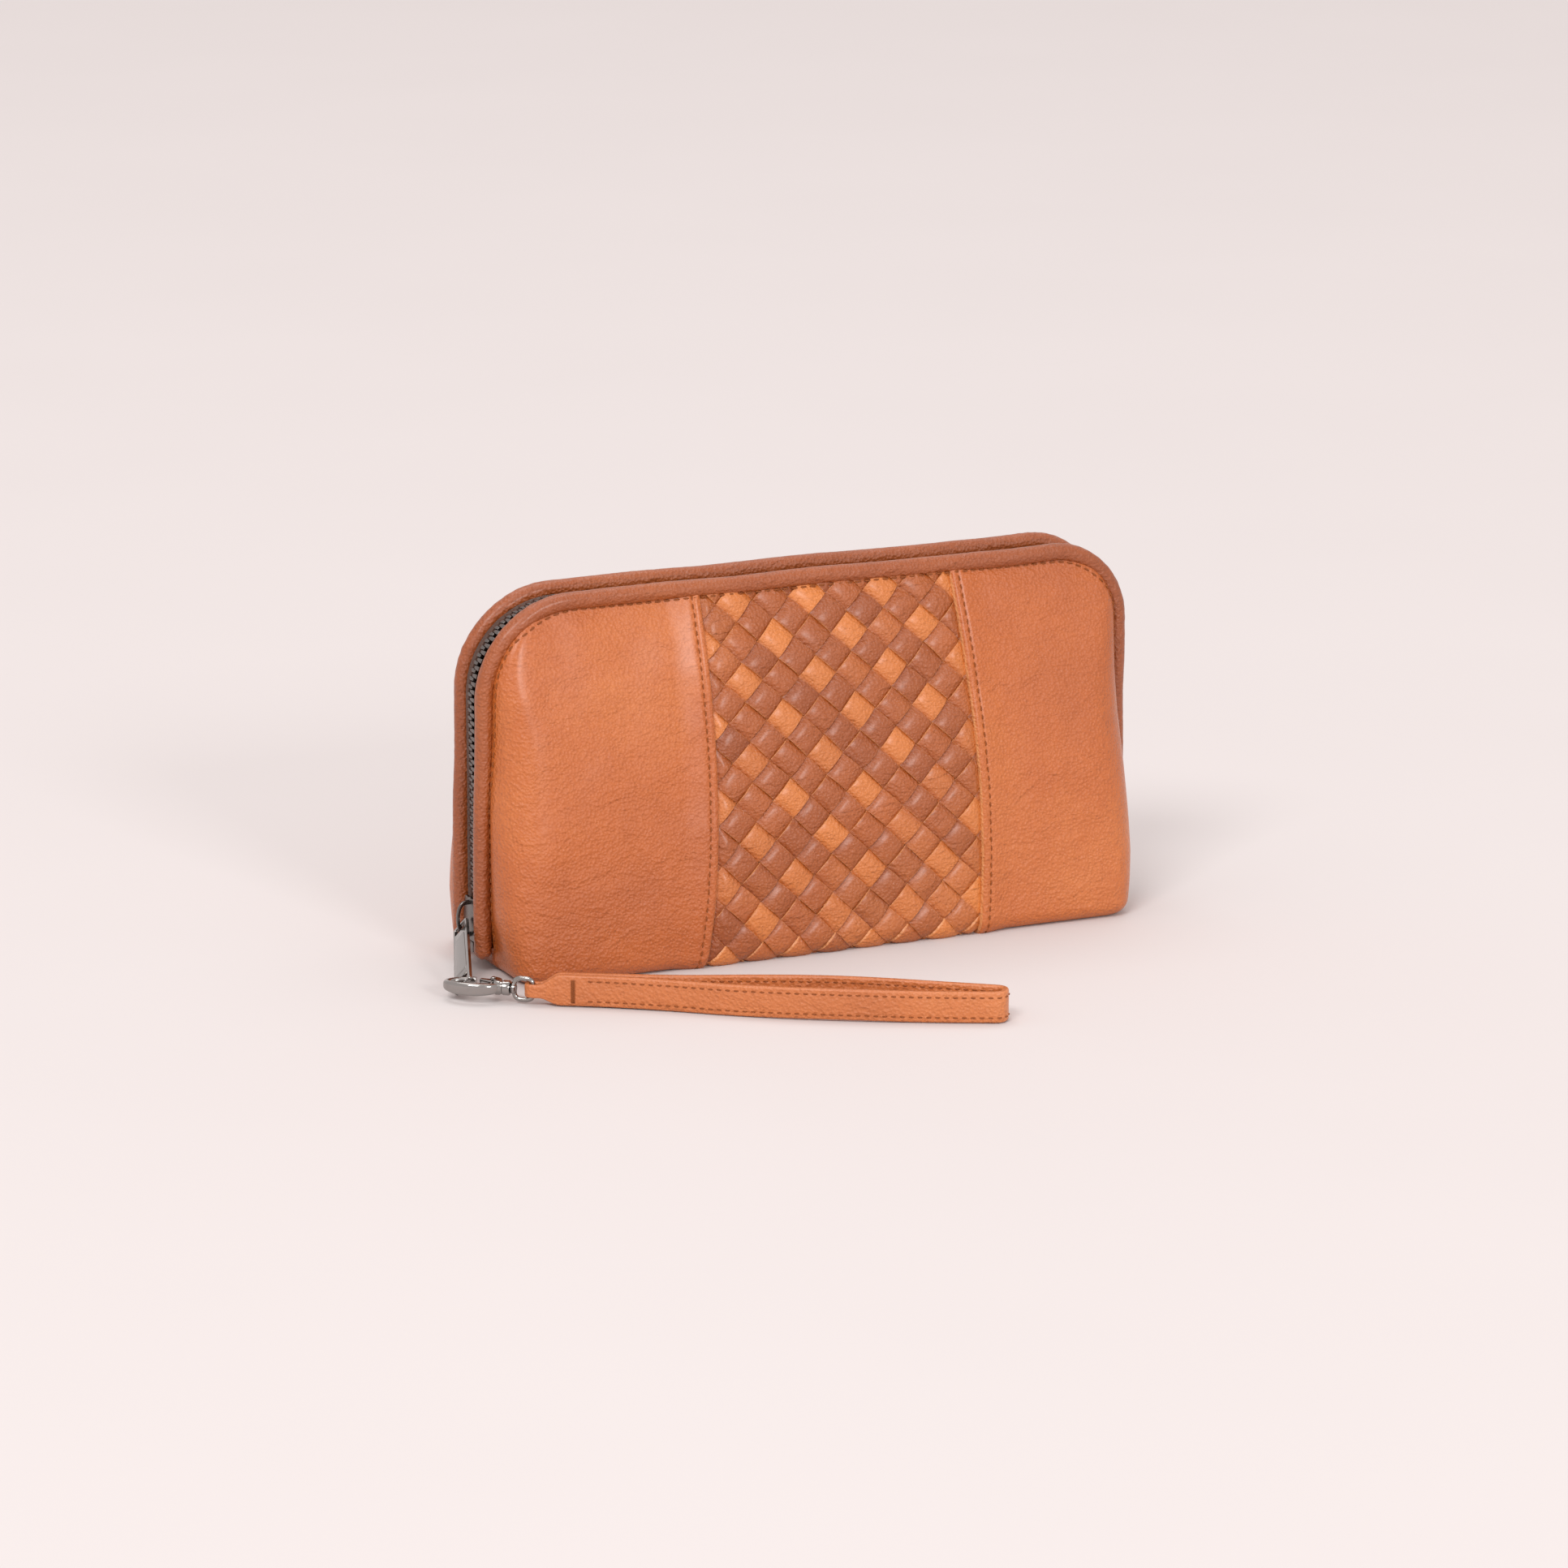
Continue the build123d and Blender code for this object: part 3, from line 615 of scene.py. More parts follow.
def plain_panel(side, label, half):
    grid = side_grid(side)
    normals = grid_normals(grid)
    lifts = seam_lift(len(grid[0]))
    last = len(grid[0]) - 1
    edge = [1.0 if c >= last - 1 else 0.0 for _ in grid for c in range(len(grid[0]))]
    pile = Pile()
    skin_mesh(pile, grid, normals, lambda r, c: lifts[c], SKIN, edge=edge)
    thing = for_half(pile, half).make(f"{half}_{label}_leather", TAN)
    place_half(thing, half, "tan_leather", f"{half}_{label}_panel")
    return grid, normals, lifts


# ---------------------------------------------------------------- woven panel
FLAT = FACE_BOTTOM - EDGE_ROUND


def profile_table():
    """Outline of the middle of the wallet, from under its middle up the front: (length, y, z)."""
    line = [(0.0, 0.0), (-FLAT, 0.0)]
    for z, _, depth in LEVELS[-1][1:]:
        line.append((-depth, z))
    table, total = [], 0.0
    for k, (y, z) in enumerate(line):
        if k:
            total += math.dist(line[k - 1], (y, z))
        table.append((total, y, z))
    return table


PROFILE = profile_table()


def on_profile(length):
    """(y, z) and outward direction at a length along the outline; negative lengths run up the rear."""
    want = min(abs(length), PROFILE[-1][0] - 1e-6)
    k = next(i for i in range(1, len(PROFILE)) if PROFILE[i][0] >= want)
    (s0, y0, z0), (s1, y1, z1) = PROFILE[k - 1], PROFILE[k]
    share = (want - s0) / (s1 - s0)
    along = Vector((0, y1 - y0, z1 - z0)).normalized()
    point = Vector((0, y0 + (y1 - y0) * share, z0 + (z1 - z0) * share))
    if z0 < EDGE_ROUND:
        out = Vector((0, -along.z, along.y))
    else:
        out = Vector((0, -abs(along.z), abs(along.y)))
    if length < 0:
        point.y, out.y = -point.y, -out.y
    return point, out.normalized()


STRIP = 8.3               # width of one strip
STRIP_RISE = 0.85
ALONG_STEPS = [-0.64, -0.56, -0.49, -0.40, -0.28, -0.14, 0.0, 0.14, 0.28, 0.40, 0.49, 0.56, 0.64]
ACROSS_STEPS = [-0.486, -0.47, -0.40, -0.25, 0.0, 0.25, 0.40, 0.47, 0.486]


def strip_height(a, b):
    """Height of the strip on top: domed, and diving under its neighbours at both ends."""
    return 0.1 + STRIP_RISE * (1 - (abs(a) / 0.5) ** 2.6) - 0.34 * abs(2 * b) ** 4


def weave_point(x, length, height):
    """Point over the outline at a length, kept between the seams and pressed flat beside them."""
    seat, out = on_profile(length)
    z = seat.z
    left, right = seam_left(z) - 1.0, seam_right(z) + 1.0
    x = max(left, min(right, x))
    press = smooth((min(x - left, right - x) - 0.6) / 2.6)
    height = min(height, -0.45 + (height + 0.45) * press)
    point = soften(Vector((x, seat.y, z))) if length > 0 else mirrored(soften(Vector((x, -seat.y, z))))
    return point + out * height


def weave_cell(pile, i, j, limits):
    """One visible crossing: the top strip's patch, with cut edges down its two sides."""
    on_first = (i + j) % 2 == 0
    dye = random.Random((j if on_first else i + 1000) * 17 + 3)
    if not on_first:
        pale, deep = 0.1, 0.6
    elif j % 2:
        pale, deep = -0.85, -0.25
    else:
        pale, deep = 0.0, 0.5
    hand = random.Random(i * 1000 + j)
    tone = dye.uniform(pale, deep) + hand.uniform(-0.22, 0.22)
    tilt = hand.uniform(-0.06, 0.06)
    lift = hand.uniform(-0.12, 0.14)
    points, edges, dye_and_painted_shade = [], [], []
    for a in ALONG_STEPS:
        row = []
        for b in ACROSS_STEPS:
            skew = b + tilt * a
            p, q = (a, skew) if on_first else (skew, a)
            p, q = (i + 0.5 + p) * STRIP, (j + 0.5 + q) * STRIP
            x, length = (p - q) * ROOT, (p + q) * ROOT
            length = max(limits[0], min(limits[1], length))
            crease = 0.09 * math.sin(a * 19 + tone * 9) * abs(a) * 2
            row.append(weave_point(x, length, strip_height(a, b) + lift + crease))
            edges.append(0.7 if abs(b) > 0.475 else 0.0)
            # Painted shade: each strip's dye tone is darkened towards its ends, where it dives under its
            # neighbours.
            dye_and_painted_shade.append(tone + 0.5 * smooth((abs(a) - 0.34) / 0.2))
        points.extend(row)
    columns = len(ACROSS_STEPS)
    count = len(points)
    faces = grid_faces(len(ALONG_STEPS), columns)
    _, out = on_profile((i + j + 1) * STRIP * ROOT)
    for k in range(0, count, columns):
        for c in (k, k + columns - 1):
            points.append(points[c] - out * 0.85)
            edges.append(1.0)
            dye_and_painted_shade.append(tone)
    for k in range(len(ALONG_STEPS) - 1):
        low, high = k * columns, (k + 1) * columns
        a, b = count + 2 * k, count + 2 * k + 2
        faces.append((low, high, b, a))
        faces.append((low + columns - 1, a + 1, b + 1, high + columns - 1))
    pile.add(points, faces, tone=dye_and_painted_shade, edge=edges)


def woven_part(name, limits):
    """All crossings that reach between two lengths of the outline, and the cloth behind them, darkened as
    painted shade seen through the gaps.
    """
    pile = Pile()
    reach = int(PROFILE[-1][0] / STRIP) * 2
    for i in range(-reach, reach):
        for j in range(-reach, reach):
            x = (i - j) * STRIP * ROOT
            length = (i + j + 1) * STRIP * ROOT
            if not limits[0] - STRIP * 0.7 < length < limits[1] + STRIP * 0.7:
                continue
            if not woven_low.x - 10 < x < woven_high.x + 12:
                continue
            weave_cell(pile, i, j, limits)
    rows = max(8, int((limits[1] - limits[0]) / 1.5))
    back = []
    for r in range(rows + 1):
        length = limits[0] + (limits[1] - limits[0]) * r / rows
        seat, _ = on_profile(length)
        left, right = seam_left(seat.z) - 1, seam_right(seat.z) + 1
        back.append([weave_point(left + (right - left) * c / 6, length, -0.75) for c in range(7)])
        back[-1] += [weave_point(left + (right - left) * c / 6, length, -1.2) for c in range(6, -1, -1)]
    count = len(back[0])
    points = [p for row in back for p in row]
    # tone 0.9 makes the sheet behind the strips dark: painted shade in the gaps of the weave.
    pile.add(points, grid_faces(len(back), count, wrap_columns=True), tone=0.9, edge=0.0)
    return pile.make(name, WOVEN)


# ---------------------------------------------------------------- stitches
THREAD_TAPER = (0.45, 0.85, 1.0, 1.0, 1.0, 0.85, 0.45)


def stitch_row(pile, path, normals, length=2.0, gap=0.75, radius=0.27, sink=0.08):
    """Short threads laid along a path, dipping at both ends."""
    total = [0.0]
    for a, b in zip(path, path[1:]):
        total.append(total[-1] + (b - a).length)

    def at(distance):
        distance = max(0.0, min(total[-1] - 1e-6, distance))
        k = next(i for i in range(1, len(total)) if total[i] >= distance)
        share = (distance - total[k - 1]) / max(total[k] - total[k - 1], 1e-9)
        return path[k - 1].lerp(path[k], share), normals[k - 1].lerp(normals[k], share).normalized()

    start = 0.0
    while start + length < total[-1]:
        line = []
        for i in range(7):
            share = i / 6
            point, out = at(start + length * share)
            arc = math.sin(math.pi * share) ** 0.6
            line.append((point + out * (radius * 1.15 * arc - sink - 0.25 * (1 - arc)), out))
        points, faces = sweep([p for p, _ in line], lambda k, t: circle(radius * THREAD_TAPER[k], 7),
                              up=line[3][1])
        pile.add(points, faces)
        start += length + gap


def surface_of(grid, normals, lifts):
    """Search tree of a skin's outside."""
    points = [p + n * lifts[c] for row, line in zip(grid, normals)
              for c, (p, n) in enumerate(zip(row, line))]
    return BVHTree.FromPolygons(points, grid_faces(len(grid), len(grid[0])))


def dropped(tree, point, hint):
    """Nearest place on a skin, with the normal that points the same way as hint."""
    place, normal, _, _ = tree.find_nearest(point)
    return place, (normal if normal.dot(hint) > 0 else -normal)


def seam_stitches(pile, grid, normals, lifts):
    column = len(grid[0]) - 1 - SEAM_STEPS.index(2.75)
    path = [row[column] + line[column] * lifts[column] for row, line in zip(grid, normals)]
    path = resample(path, 0.6)
    tree = surface_of(grid, normals, lifts)
    pairs = [dropped(tree, p, Vector((0, -1, 0.1))) for p in path]
    stitch_row(pile, [p for p, _ in pairs], [n for _, n in pairs], length=1.9, gap=0.7, radius=0.24)


def ditch_line(trees):
    """Line on the skins a little way in from the binding, all round the half."""
    rim = arch_path(PANEL_X - 0.9, PANEL_Z - 0.6, PANEL_CORNER - 0.6, 7.0, -SKIN_Y, 0.7)
    rim = [lean_in(p) for p in rim]
    corner_z = PANEL_Z - PANEL_CORNER
    out = []
    for k, point in enumerate(rim):
        ahead = rim[min(k + 1, len(rim) - 1)] - rim[max(k - 1, 0)]
        inward = Vector((0, 1, 0)).cross(ahead.normalized())
        inward = -inward if inward.dot(Vector((0, 0, 40)) - point) < 0 else inward
        rise = max(0.0, min(1.0, (point.z - corner_z) / PANEL_CORNER))
        guess = point + inward * (0.2 + 1.8 * rise) + Vector((0, -2.9 + 1.6 * rise, 0))
        out.append(min((dropped(tree, guess, -inward + Vector((0, -0.8, 0))) for tree in trees),
                       key=lambda pair: (pair[0] - guess).length))
    return out


# ---------------------------------------------------------------- binding, tape and teeth
def make_binding(half):
    path = arch_path(SIDE, CREST, CORNER, binding_low.z - 1.2, -BINDING_Y, 0.7)
    path = [lean_in(p) + Vector((noise.noise(p * 0.04) * 0.35,
                                 noise.noise(p * 0.05 + Vector((3, 3, 3))) * 0.3,
                                 noise.noise(p * 0.04 + Vector((9, 0, 4))) * 0.35)) for p in path]
    sides = 28

    def section(k, t):
        point = path[k]
        bend = 1.0 if point.z > CREST - CORNER and abs(point.x) > SIDE - CORNER else 0.0
        ring = []
        for i in range(sides):
            angle = i * math.tau / sides
            rib = noise.noise(Vector((k * 0.42, math.cos(angle) * 1.4, math.sin(angle) * 1.4)))
            soft = noise.noise(Vector((k * 0.06, math.cos(angle), math.sin(angle) + 7)))
            radius = TUBE * (0.985 + 0.035 * soft + (0.022 + 0.03 * bend) * rib)
            radius *= 1 - 0.75 * max(0.0, 1 - min(k, len(path) - 1 - k) / 3.5) ** 2
            ring.append((radius * math.cos(angle), radius * math.sin(angle)))
        return ring

    pile = Pile()
    points, faces = sweep(path, section, up=Vector((0, 1, 0)))
    pile.add(points, faces, tone=0.25, edge=0.0)
    thing = for_half(pile, half).make(f"{half}_rolled_binding", BINDING)
    carry(thing, f"{half}_half", "binding_leather", f"{half}_binding")


def make_tape(half):
    path = arch_path(ZIP_X, ZIP_Z, ZIP_CORNER, tape_low.z - 1.5, 0, 1.2)
    pile = Pile()
    for offset, width, thick in ((-4.7, 4.2, 0.62), (-2.75, 0.9, 1.1)):
        line = [p + Vector((0, offset, 0)) for p in path]
        points, faces = sweep(line, lambda k, t: rounded(thick, width, thick * 0.45), up=Vector((0, 1, 0)))
        pile.add(points, faces)
    thing = for_half(pile, half).make(f"{half}_tape", TAPE)
    carry(thing, f"{half}_half", "zip_tape", f"{half}_zip_tape")


def tooth_shape():
    """One cast tooth: a flat outline with a body, a waisted neck and a head, raised into a prism and bevelled
    all over.
    """
    outline = [(-2.7, -0.62), (-0.85, -0.62), (-0.3, -0.36), (0.0, -0.5), (0.62, -0.44)]
    outline += [(x, -y) for x, y in reversed(outline)]
    work = bmesh.new()
    low = [work.verts.new((x, y, -1.1)) for x, y in outline]
    high = [work.verts.new((x, y, 1.1)) for x, y in outline]
    count = len(outline)
    work.faces.new(reversed(low))
    work.faces.new(high)
    for k in range(count):
        work.faces.new((low[k], low[(k + 1) % count], high[(k + 1) % count], high[k]))
    bmesh.ops.bevel(work, geom=list(work.edges), offset=0.13, segments=2, affect="EDGES", profile=0.6)
    bmesh.ops.recalc_face_normals(work, faces=work.faces)
    work.verts.index_update()
    shape = [v.co.copy() for v in work.verts], [tuple(v.index for v in f.verts) for f in work.faces]
    work.free()
    return shape


TOOTH = tooth_shape()


def make_teeth(half):
    """A row of teeth along the arch, half a pitch apart from the other row."""
    step = 0.05
    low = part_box("zip_slider")[1].z / MM + 0.9
    path = arch_path(ZIP_X, ZIP_Z, ZIP_CORNER, low, 0, step)
    lead = 0.25 if half == "front" else 0.75
    sign = 1 if half == "front" else -1
    pile = Pile()
    count = int(len(path) * step / TOOTH_PITCH) - 1
    for index in range(count):
        k = min(len(path) - 2, round((index + lead) * TOOTH_PITCH / step))
        along = (path[k + 1] - path[k - 1 if k else 0]).normalized()
        across = Vector((0, sign, 0))
        out = along.cross(across)
        turn = Matrix((across, along, out)).transposed()
        wobble = Matrix.Rotation(random.uniform(-0.03, 0.03), 3, "Z")
        pile.add([path[k] + turn @ (wobble @ v) for v in TOOTH[0]], TOOTH[1])
    thing = pile.make(f"{half}_teeth", GUNMETAL)
    carry(thing, f"{half}_half", "gunmetal", f"{half}_zip_teeth")


# ---------------------------------------------------------------- base
def ring_at_base():
    """Outline of the flat underside's front left quarter, as (x, y) pairs."""
    z, half, depth = LEVELS[-1][0]
    ring = corner_points(z, half, depth)
    return [(x, y) for x, y in ring] + [(0.0, -depth)]


def base_edge(y):
    """Half width of the flat underside at depth y."""
    ring = ring_at_base()
    depth = -abs(y)
    if depth > ring[0][1]:
        return -ring[0][0]
    for (x0, y0), (x1, y1) in zip(ring, ring[1:]):
        if y1 <= depth <= y0 and y0 > y1:
            return -(x0 + (x1 - x0) * (y0 - depth) / (y0 - y1))
    return -ring[-2][0]


def base_panel(side, label):
    """Plain leather of the underside, from the seam to the end wall."""
    grid = []
    rows, steps = 40, 20
    for r in range(rows + 1):
        y = -FLAT + 2 * FLAT * r / rows
        edge = base_edge(y * 0.9995)
        seam = -seam_left(0) if side < 0 else seam_right(0)
        xs = [edge + (seam - edge) * c / steps for c in range(steps + 1)]
        grid.append([Vector((side * x, y, 0.0)) for x in xs])
    normals = [[Vector((0, 0, -1))] * (steps + 1) for _ in grid]
    pile = Pile()
    skin_mesh(pile, grid, normals, lambda r, c: 0.0, SKIN, edge=[0.0] * len(grid) * (steps + 1))
    thing = pile.make(f"base_{label}_leather", TAN)
    carry(thing, "base", "tan_leather", f"base_{label}_panel")


def end_wall(side, label):
    """Leather tab that closes the base under the zip's end, from underside up into the binding."""
    pile = Pile()
    rows = [(z, PANEL_X - BASE_INSET - inset) for z, inset in EDGE_TURN]
    rows += [(EDGE_ROUND + 1.2, PANEL_X - 1.0), (EDGE_ROUND + 2.6, PANEL_X - 0.9)]
    half = SKIN_Y + 0.8
    steps = 16
    grid = [[Vector((side * (x + 0.35), -half + 2 * half * c / steps, z)) for c in range(steps + 1)]
            for z, x in rows]
    normals = grid_normals(grid)
    skin_mesh(pile, grid, normals, lambda r, c: 0.0, 1.6, tone=[0.2] * len(grid) * (steps + 1))
    thing = pile.make(f"end_tab_{label}_leather", BINDING)
    carry(thing, "base", "binding_leather", f"end_tab_{label}")


# ---------------------------------------------------------------- lining, boards and gussets
def inner_skin(half, name, depth, thickness, material, slot, low_z, high_z, reach, node):
    """Layer of a half, depth inside its leather: flat if reach is given, else round the corners."""
    rows = []
    for z, width, face in LEVELS[-1]:
        if not low_z <= z <= high_z:
            continue
        inset = depth * smooth((PANEL_Z - z) / 7)
        left = []
        for k, (x, y) in enumerate(corner_points(z, width - inset, face - inset)):
            flare = inset * max(0.0, 1 - k / 4)
            left.append(Vector((x - flare, y, z)))
        rows.append([Vector((-reach, inset - face, z))] if reach else left)
    grid, steps = [], 40
    for left in rows:
        right = [Vector((-p.x, p.y, p.z)) for p in reversed(left)]
        span = right[0].x - left[-1].x
        across = [left[-1] + Vector((span * c / steps, 0, 0)) for c in range(1, steps)]
        grid.append([lean_in(soften(p)) for p in left + across + right])
    normals = grid_normals(grid)
    pile = Pile()
    skin_mesh(pile, grid, normals, lambda r, c: 0.0, thickness)
    thing = for_half(pile, half).make(f"{half}_{name}", material)
    carry(thing, f"{half}_half", slot, node)


def make_gusset(half, side, label):
    """Bowed and rippled cloth web at the fold."""
    grid = []
    rows, steps = 14, 18
    below, above = 1.7, 1.8
    inset = 4.5
    for r in range(rows + 1):
        share = r / rows
        inward = 5.5 * math.sin(math.pi * share) * (1 + 0.12 * math.sin(share * math.tau * 3))
        z = FOLD_Z - below + 3.5 * share
        line = []
        for c in range(steps + 1):
            y = -FACE_BOTTOM + inset + (FACE_BOTTOM - inset - SKIN_Y) * c / steps
            line.append(Vector((side * (PANEL_X - 3.4 - inward), y, z)))
        grid.append(line)
    normals = grid_normals(grid)
    pile = Pile()
    skin_mesh(pile, grid, normals, lambda r, c: 0.0, 0.4)
    thing = for_half(pile, half).make(f"{half}_gusset_web_{label}", LINING)
    place_half(thing, half, "lining_cloth", f"{half}_gusset_{label}", below=below, above=above)


# ---------------------------------------------------------------- hardware
def frame_of(origin, x_axis, z_axis):
    """Function that takes a point of a local frame to the wallet's."""
    x_axis = x_axis.normalized()
    z_axis = (z_axis - x_axis * z_axis.dot(x_axis)).normalized()
    y_axis = z_axis.cross(x_axis)
    turn = Matrix((x_axis, y_axis, z_axis)).transposed()
    return lambda p: origin + turn @ Vector(p)


def lathe(pile, place, profile, sides=28):
    """Turned part: profile is (along x, radius) pairs, placed by a frame."""
    points = []
    for along, radius in profile:
        for i in range(sides):
            angle = i * math.tau / sides
            points.append(place((along, radius * math.cos(angle), radius * math.sin(angle))))
    faces = grid_faces(len(profile), sides, wrap_columns=True)
    faces.append(tuple(reversed(range(sides))))
    faces.append(tuple((len(profile) - 1) * sides + i for i in range(sides)))
    pile.add(points, faces)


def plate(pile, place, outline, holes, thickness, bevel=0.18):
    """Flat plate with holes, its edges rounded over."""
    curve = bpy.data.curves.new("plate_curve", "CURVE")
    curve.dimensions = "2D"
    curve.fill_mode = "BOTH"
    curve.extrude = thickness / 2 - bevel
    curve.bevel_depth = bevel
    curve.bevel_resolution = 3
    curve.offset = -bevel
    for loop in [outline] + holes:
        spline = curve.splines.new("POLY")
        spline.points.add(len(loop) - 1)
        for point, (x, y) in zip(spline.points, loop):
            point.co = (x, y, 0, 1)
        spline.use_cyclic_u = True
    thing = bpy.data.objects.new("plate_maker", curve)
    mesh = bpy.data.meshes.new_from_object(thing)
    pile.add([place(v.co) for v in mesh.vertices], [tuple(f.vertices) for f in mesh.polygons])
    bpy.data.objects.remove(thing)
    bpy.data.curves.remove(curve)
    bpy.data.meshes.remove(mesh)


def smooth_loop(corners, radius, steps=6):
    """Closed outline with its corners rounded to one radius."""
    loop = []
    count = len(corners)
    for k, corner in enumerate(corners):
        here = Vector(corner)
        before = Vector(corners[k - 1]) - here
        after = Vector(corners[(k + 1) % count]) - here
        cut = min(radius, before.length / 2.2, after.length / 2.2)
        a, b = here + before.normalized() * cut, here + after.normalized() * cut
        for i in range(steps + 1):
            t = i / steps
            loop.append(tuple(a.lerp(here, t).lerp(here.lerp(b, t), t)))
    return loop


def raised(place, level):
    """The same frame, moved along its own z."""
    return lambda p: place((p[0], p[1], p[2] + level))


def hardware(thing, body, slot, *nodes):
    carry(thing, body, slot, *nodes)
    soften_edges(thing)


def soften_edges(thing, angle=35):
    """Smooth shading, but sharp where the faces turn by more than the angle."""
    work = bmesh.new()
    work.from_mesh(thing.data)
    bmesh.ops.remove_doubles(work, verts=work.verts, dist=2e-6)
    for edge in work.edges:
        edge.smooth = not (len(edge.link_faces) == 2 and edge.calc_face_angle(0) > math.radians(angle))
    work.to_mesh(thing.data)
    work.free()


def make_slider():
    """Two plates with the splitting post at the lower end, side rails and the crown."""
    low, high = box_mm("zip_slider")
    middle = (low.z + high.z) / 2
    half = (high.z - low.z) / 2
    place = frame_of(Vector((-ZIP_X, 0, middle)), Vector((0, -1, 0)), Vector((-1, 0, 0)))
    outline = smooth_loop([(-3.4, half), (-1.1, half - 0.5), (0, half), (1.1, half - 0.5), (3.4, half),
                           (4.7, 1.2), (4.6, -half + 0.6), (2.8, -half), (-2.8, -half),
                           (-4.6, -half + 0.6), (-4.7, 1.2)], 1.1)
    pile = Pile()
    for level in (1.75, -1.75):
        plate(pile, raised(place, level), outline, [], 0.95, 0.22)
    post_x, post_y = 0.9, 2.2
    post = post_y - half
    wedge = smooth_loop([(-post_x, post), (0, post + post_y), (post_x, post), (0, post - post_y)], 0.4)
    plate(pile, place, wedge, [], 2.7, 0.1)
    for side in (-1, 1):
        rail = smooth_loop([(side * 4.05, -half + 0.9), (side * 4.6, -half + 0.9), (side * 4.6, 0.2),
                            (side * 4.05, 0.2)], 0.2)
        for level in (1.0, -1.0):
            plate(pile, raised(place, level), rail, [], 0.62, 0.1)
    arc = []
    for i in range(25):
        angle = math.pi * i / 24
        bulge = math.sin(angle) ** 0.55
        arc.append(place((0, 4.85 * math.cos(angle), 2.05 + 3.72 * bulge)))

    def section(k, t):
        end = 1 + 0.35 * abs(2 * t - 1) ** 3
        return rounded(1.05 * end, 0.85, 0.28)

    points, faces = sweep(arc, section, up=Vector((0, 1, 0)))
    pile.add(points, faces)
    hardware(pile.make("zip_slider_body", GUNMETAL), "main_slider", "gunmetal", "zip_slider")


def make_puller():
    pin, across = joint("puller_swing")
    bar, _ = joint("hook_swing")
    down = (bar - pin).normalized()
    reach = (bar - pin).length - 2.55
    place = frame_of(pin, across, across.cross(-down))
    end = -reach - 3.1
    outline = smooth_loop([(-3.1, 0.45), (3.1, 0.45), (3.7, end), (-3.7, end)], 0.9)
    top_hole = smooth_loop([(-2.4, -0.5), (2.4, -0.5), (2.4, -3.7), (-2.4, -3.7)], 0.7)
    low_hole = smooth_loop([(-2.6, -reach + 2.0), (2.6, -reach + 2.0), (2.6, -reach - 2.0),
                            (-2.6, -reach - 2.0)], 0.5)
    pile = Pile()
    plate(pile, place, outline, [top_hole, low_hole], 1.1, 0.2)
    ridge = smooth_loop([(-2.0, -6.2), (2.0, -6.2), (2.5, -reach + 4.6), (-2.5, -reach + 4.6)], 1.2)
    plate(pile, place, ridge, [], 1.32, 0.12)
    hardware(pile.make("zip_puller_plate", NICKEL), "puller", "polished_nickel", "zip_puller")


def hook_frame():
    center, heading = joint("swivel_spin")
    return frame_of(center, heading, Vector((0, 0, 1)))


def oval(angle):
    """Middle line of the hook's ring."""
    return Vector((7.75 * math.cos(angle), 0.15 + 4.2 * math.sin(angle), 0))


def make_hook():
    place = hook_frame()
    start, stop = math.radians(42), math.radians(-268)
    path = [oval(start + (stop - start) * i / 64) for i in range(65)]
    placed = [place(p) for p in path]

    def section(k, t):
        near = max(0.0, -path[k].y / 4.0)
        width = 2.0 + 0.25 * near
        height = 2.3 + 1.5 * near
        return rounded(width, height, min(width, height) * 0.42, 4)

    pile = Pile()
    points, faces = sweep(placed, section)
    pile.add(points, faces)
    lathe(pile, place, [(6.55, 1.5), (6.6, 2.0), (7.0, 2.2), (8.2, 2.2), (8.5, 1.95), (9.0, 1.95), (9.3, 2.2),
                        (10.9, 2.2), (11.3, 1.95), (11.4, 1.2)])
    pivot, _ = joint("gate_pivot")
    for side in (-1, 1):
        cheek = smooth_loop([(4.3, 2.6), (5.2, 4.3), (7.4, 3.3), (8.7, 1.6), (7.2, 0.5), (5.2, 1.9)], 1.0)
        plate(pile, raised(place, side * 1.55), cheek, [], 0.68, 0.14)
    hardware(pile.make("hook_shell", NICKEL), "snap_hook", "polished_nickel", "hook_body")
    pin = Pile()
    rivet = frame_of(pivot, Vector((0, 0, 1)), Vector((1, 0, 0)))
    lathe(pin, rivet, [(-2.15, 0.25), (-2.05, 0.6), (-1.85, 0.72), (-1.8, 0.44), (1.8, 0.44), (1.85, 0.72),
                       (2.05, 0.6), (2.15, 0.25)], 20)
    hardware(pin.make("gate_rivet", NICKEL), "snap_hook", "polished_nickel", "gate_pin")
    gate = Pile()
    finger = smooth_loop([(0.9, 3.55), (0.95, 5.0), (3.2, 4.85), (6.0, 4.05), (6.05, 2.45), (4.2, 2.45)], 0.5)
    plate(gate, place, finger, [], 1.95, 0.35)
    hardware(gate.make("gate_finger", NICKEL), "gate", "polished_nickel", "hook_gate")


def make_ring():
    place = hook_frame()
    pile = Pile()
    lathe(pile, place, [(5.3, 0.9), (5.4, 1.35), (6.0, 1.45), (6.15, 0.82), (11.5, 0.82), (11.6, 1.5),
                        (12.1, 1.8), (12.7, 1.7), (13.0, 1.0)])
    half = 3.15
    corners = [(12.4, -half), (18.0, -half), (18.0, half), (12.4, half)]
    loop = smooth_loop(corners, 2.2, 8)
    path = resample([place((x, 0, z)) for x, z in loop], 0.4, closed=True)
    up = place((0, 1, 0)) - place((0, 0, 0))
    points, faces = sweep(path, lambda k, t: circle(0.74, 14), closed=True, up=up)
    pile.add(points, faces)
    hardware(pile.make("swivel_d_ring", NICKEL), "swivel", "polished_nickel", "swivel_ring")


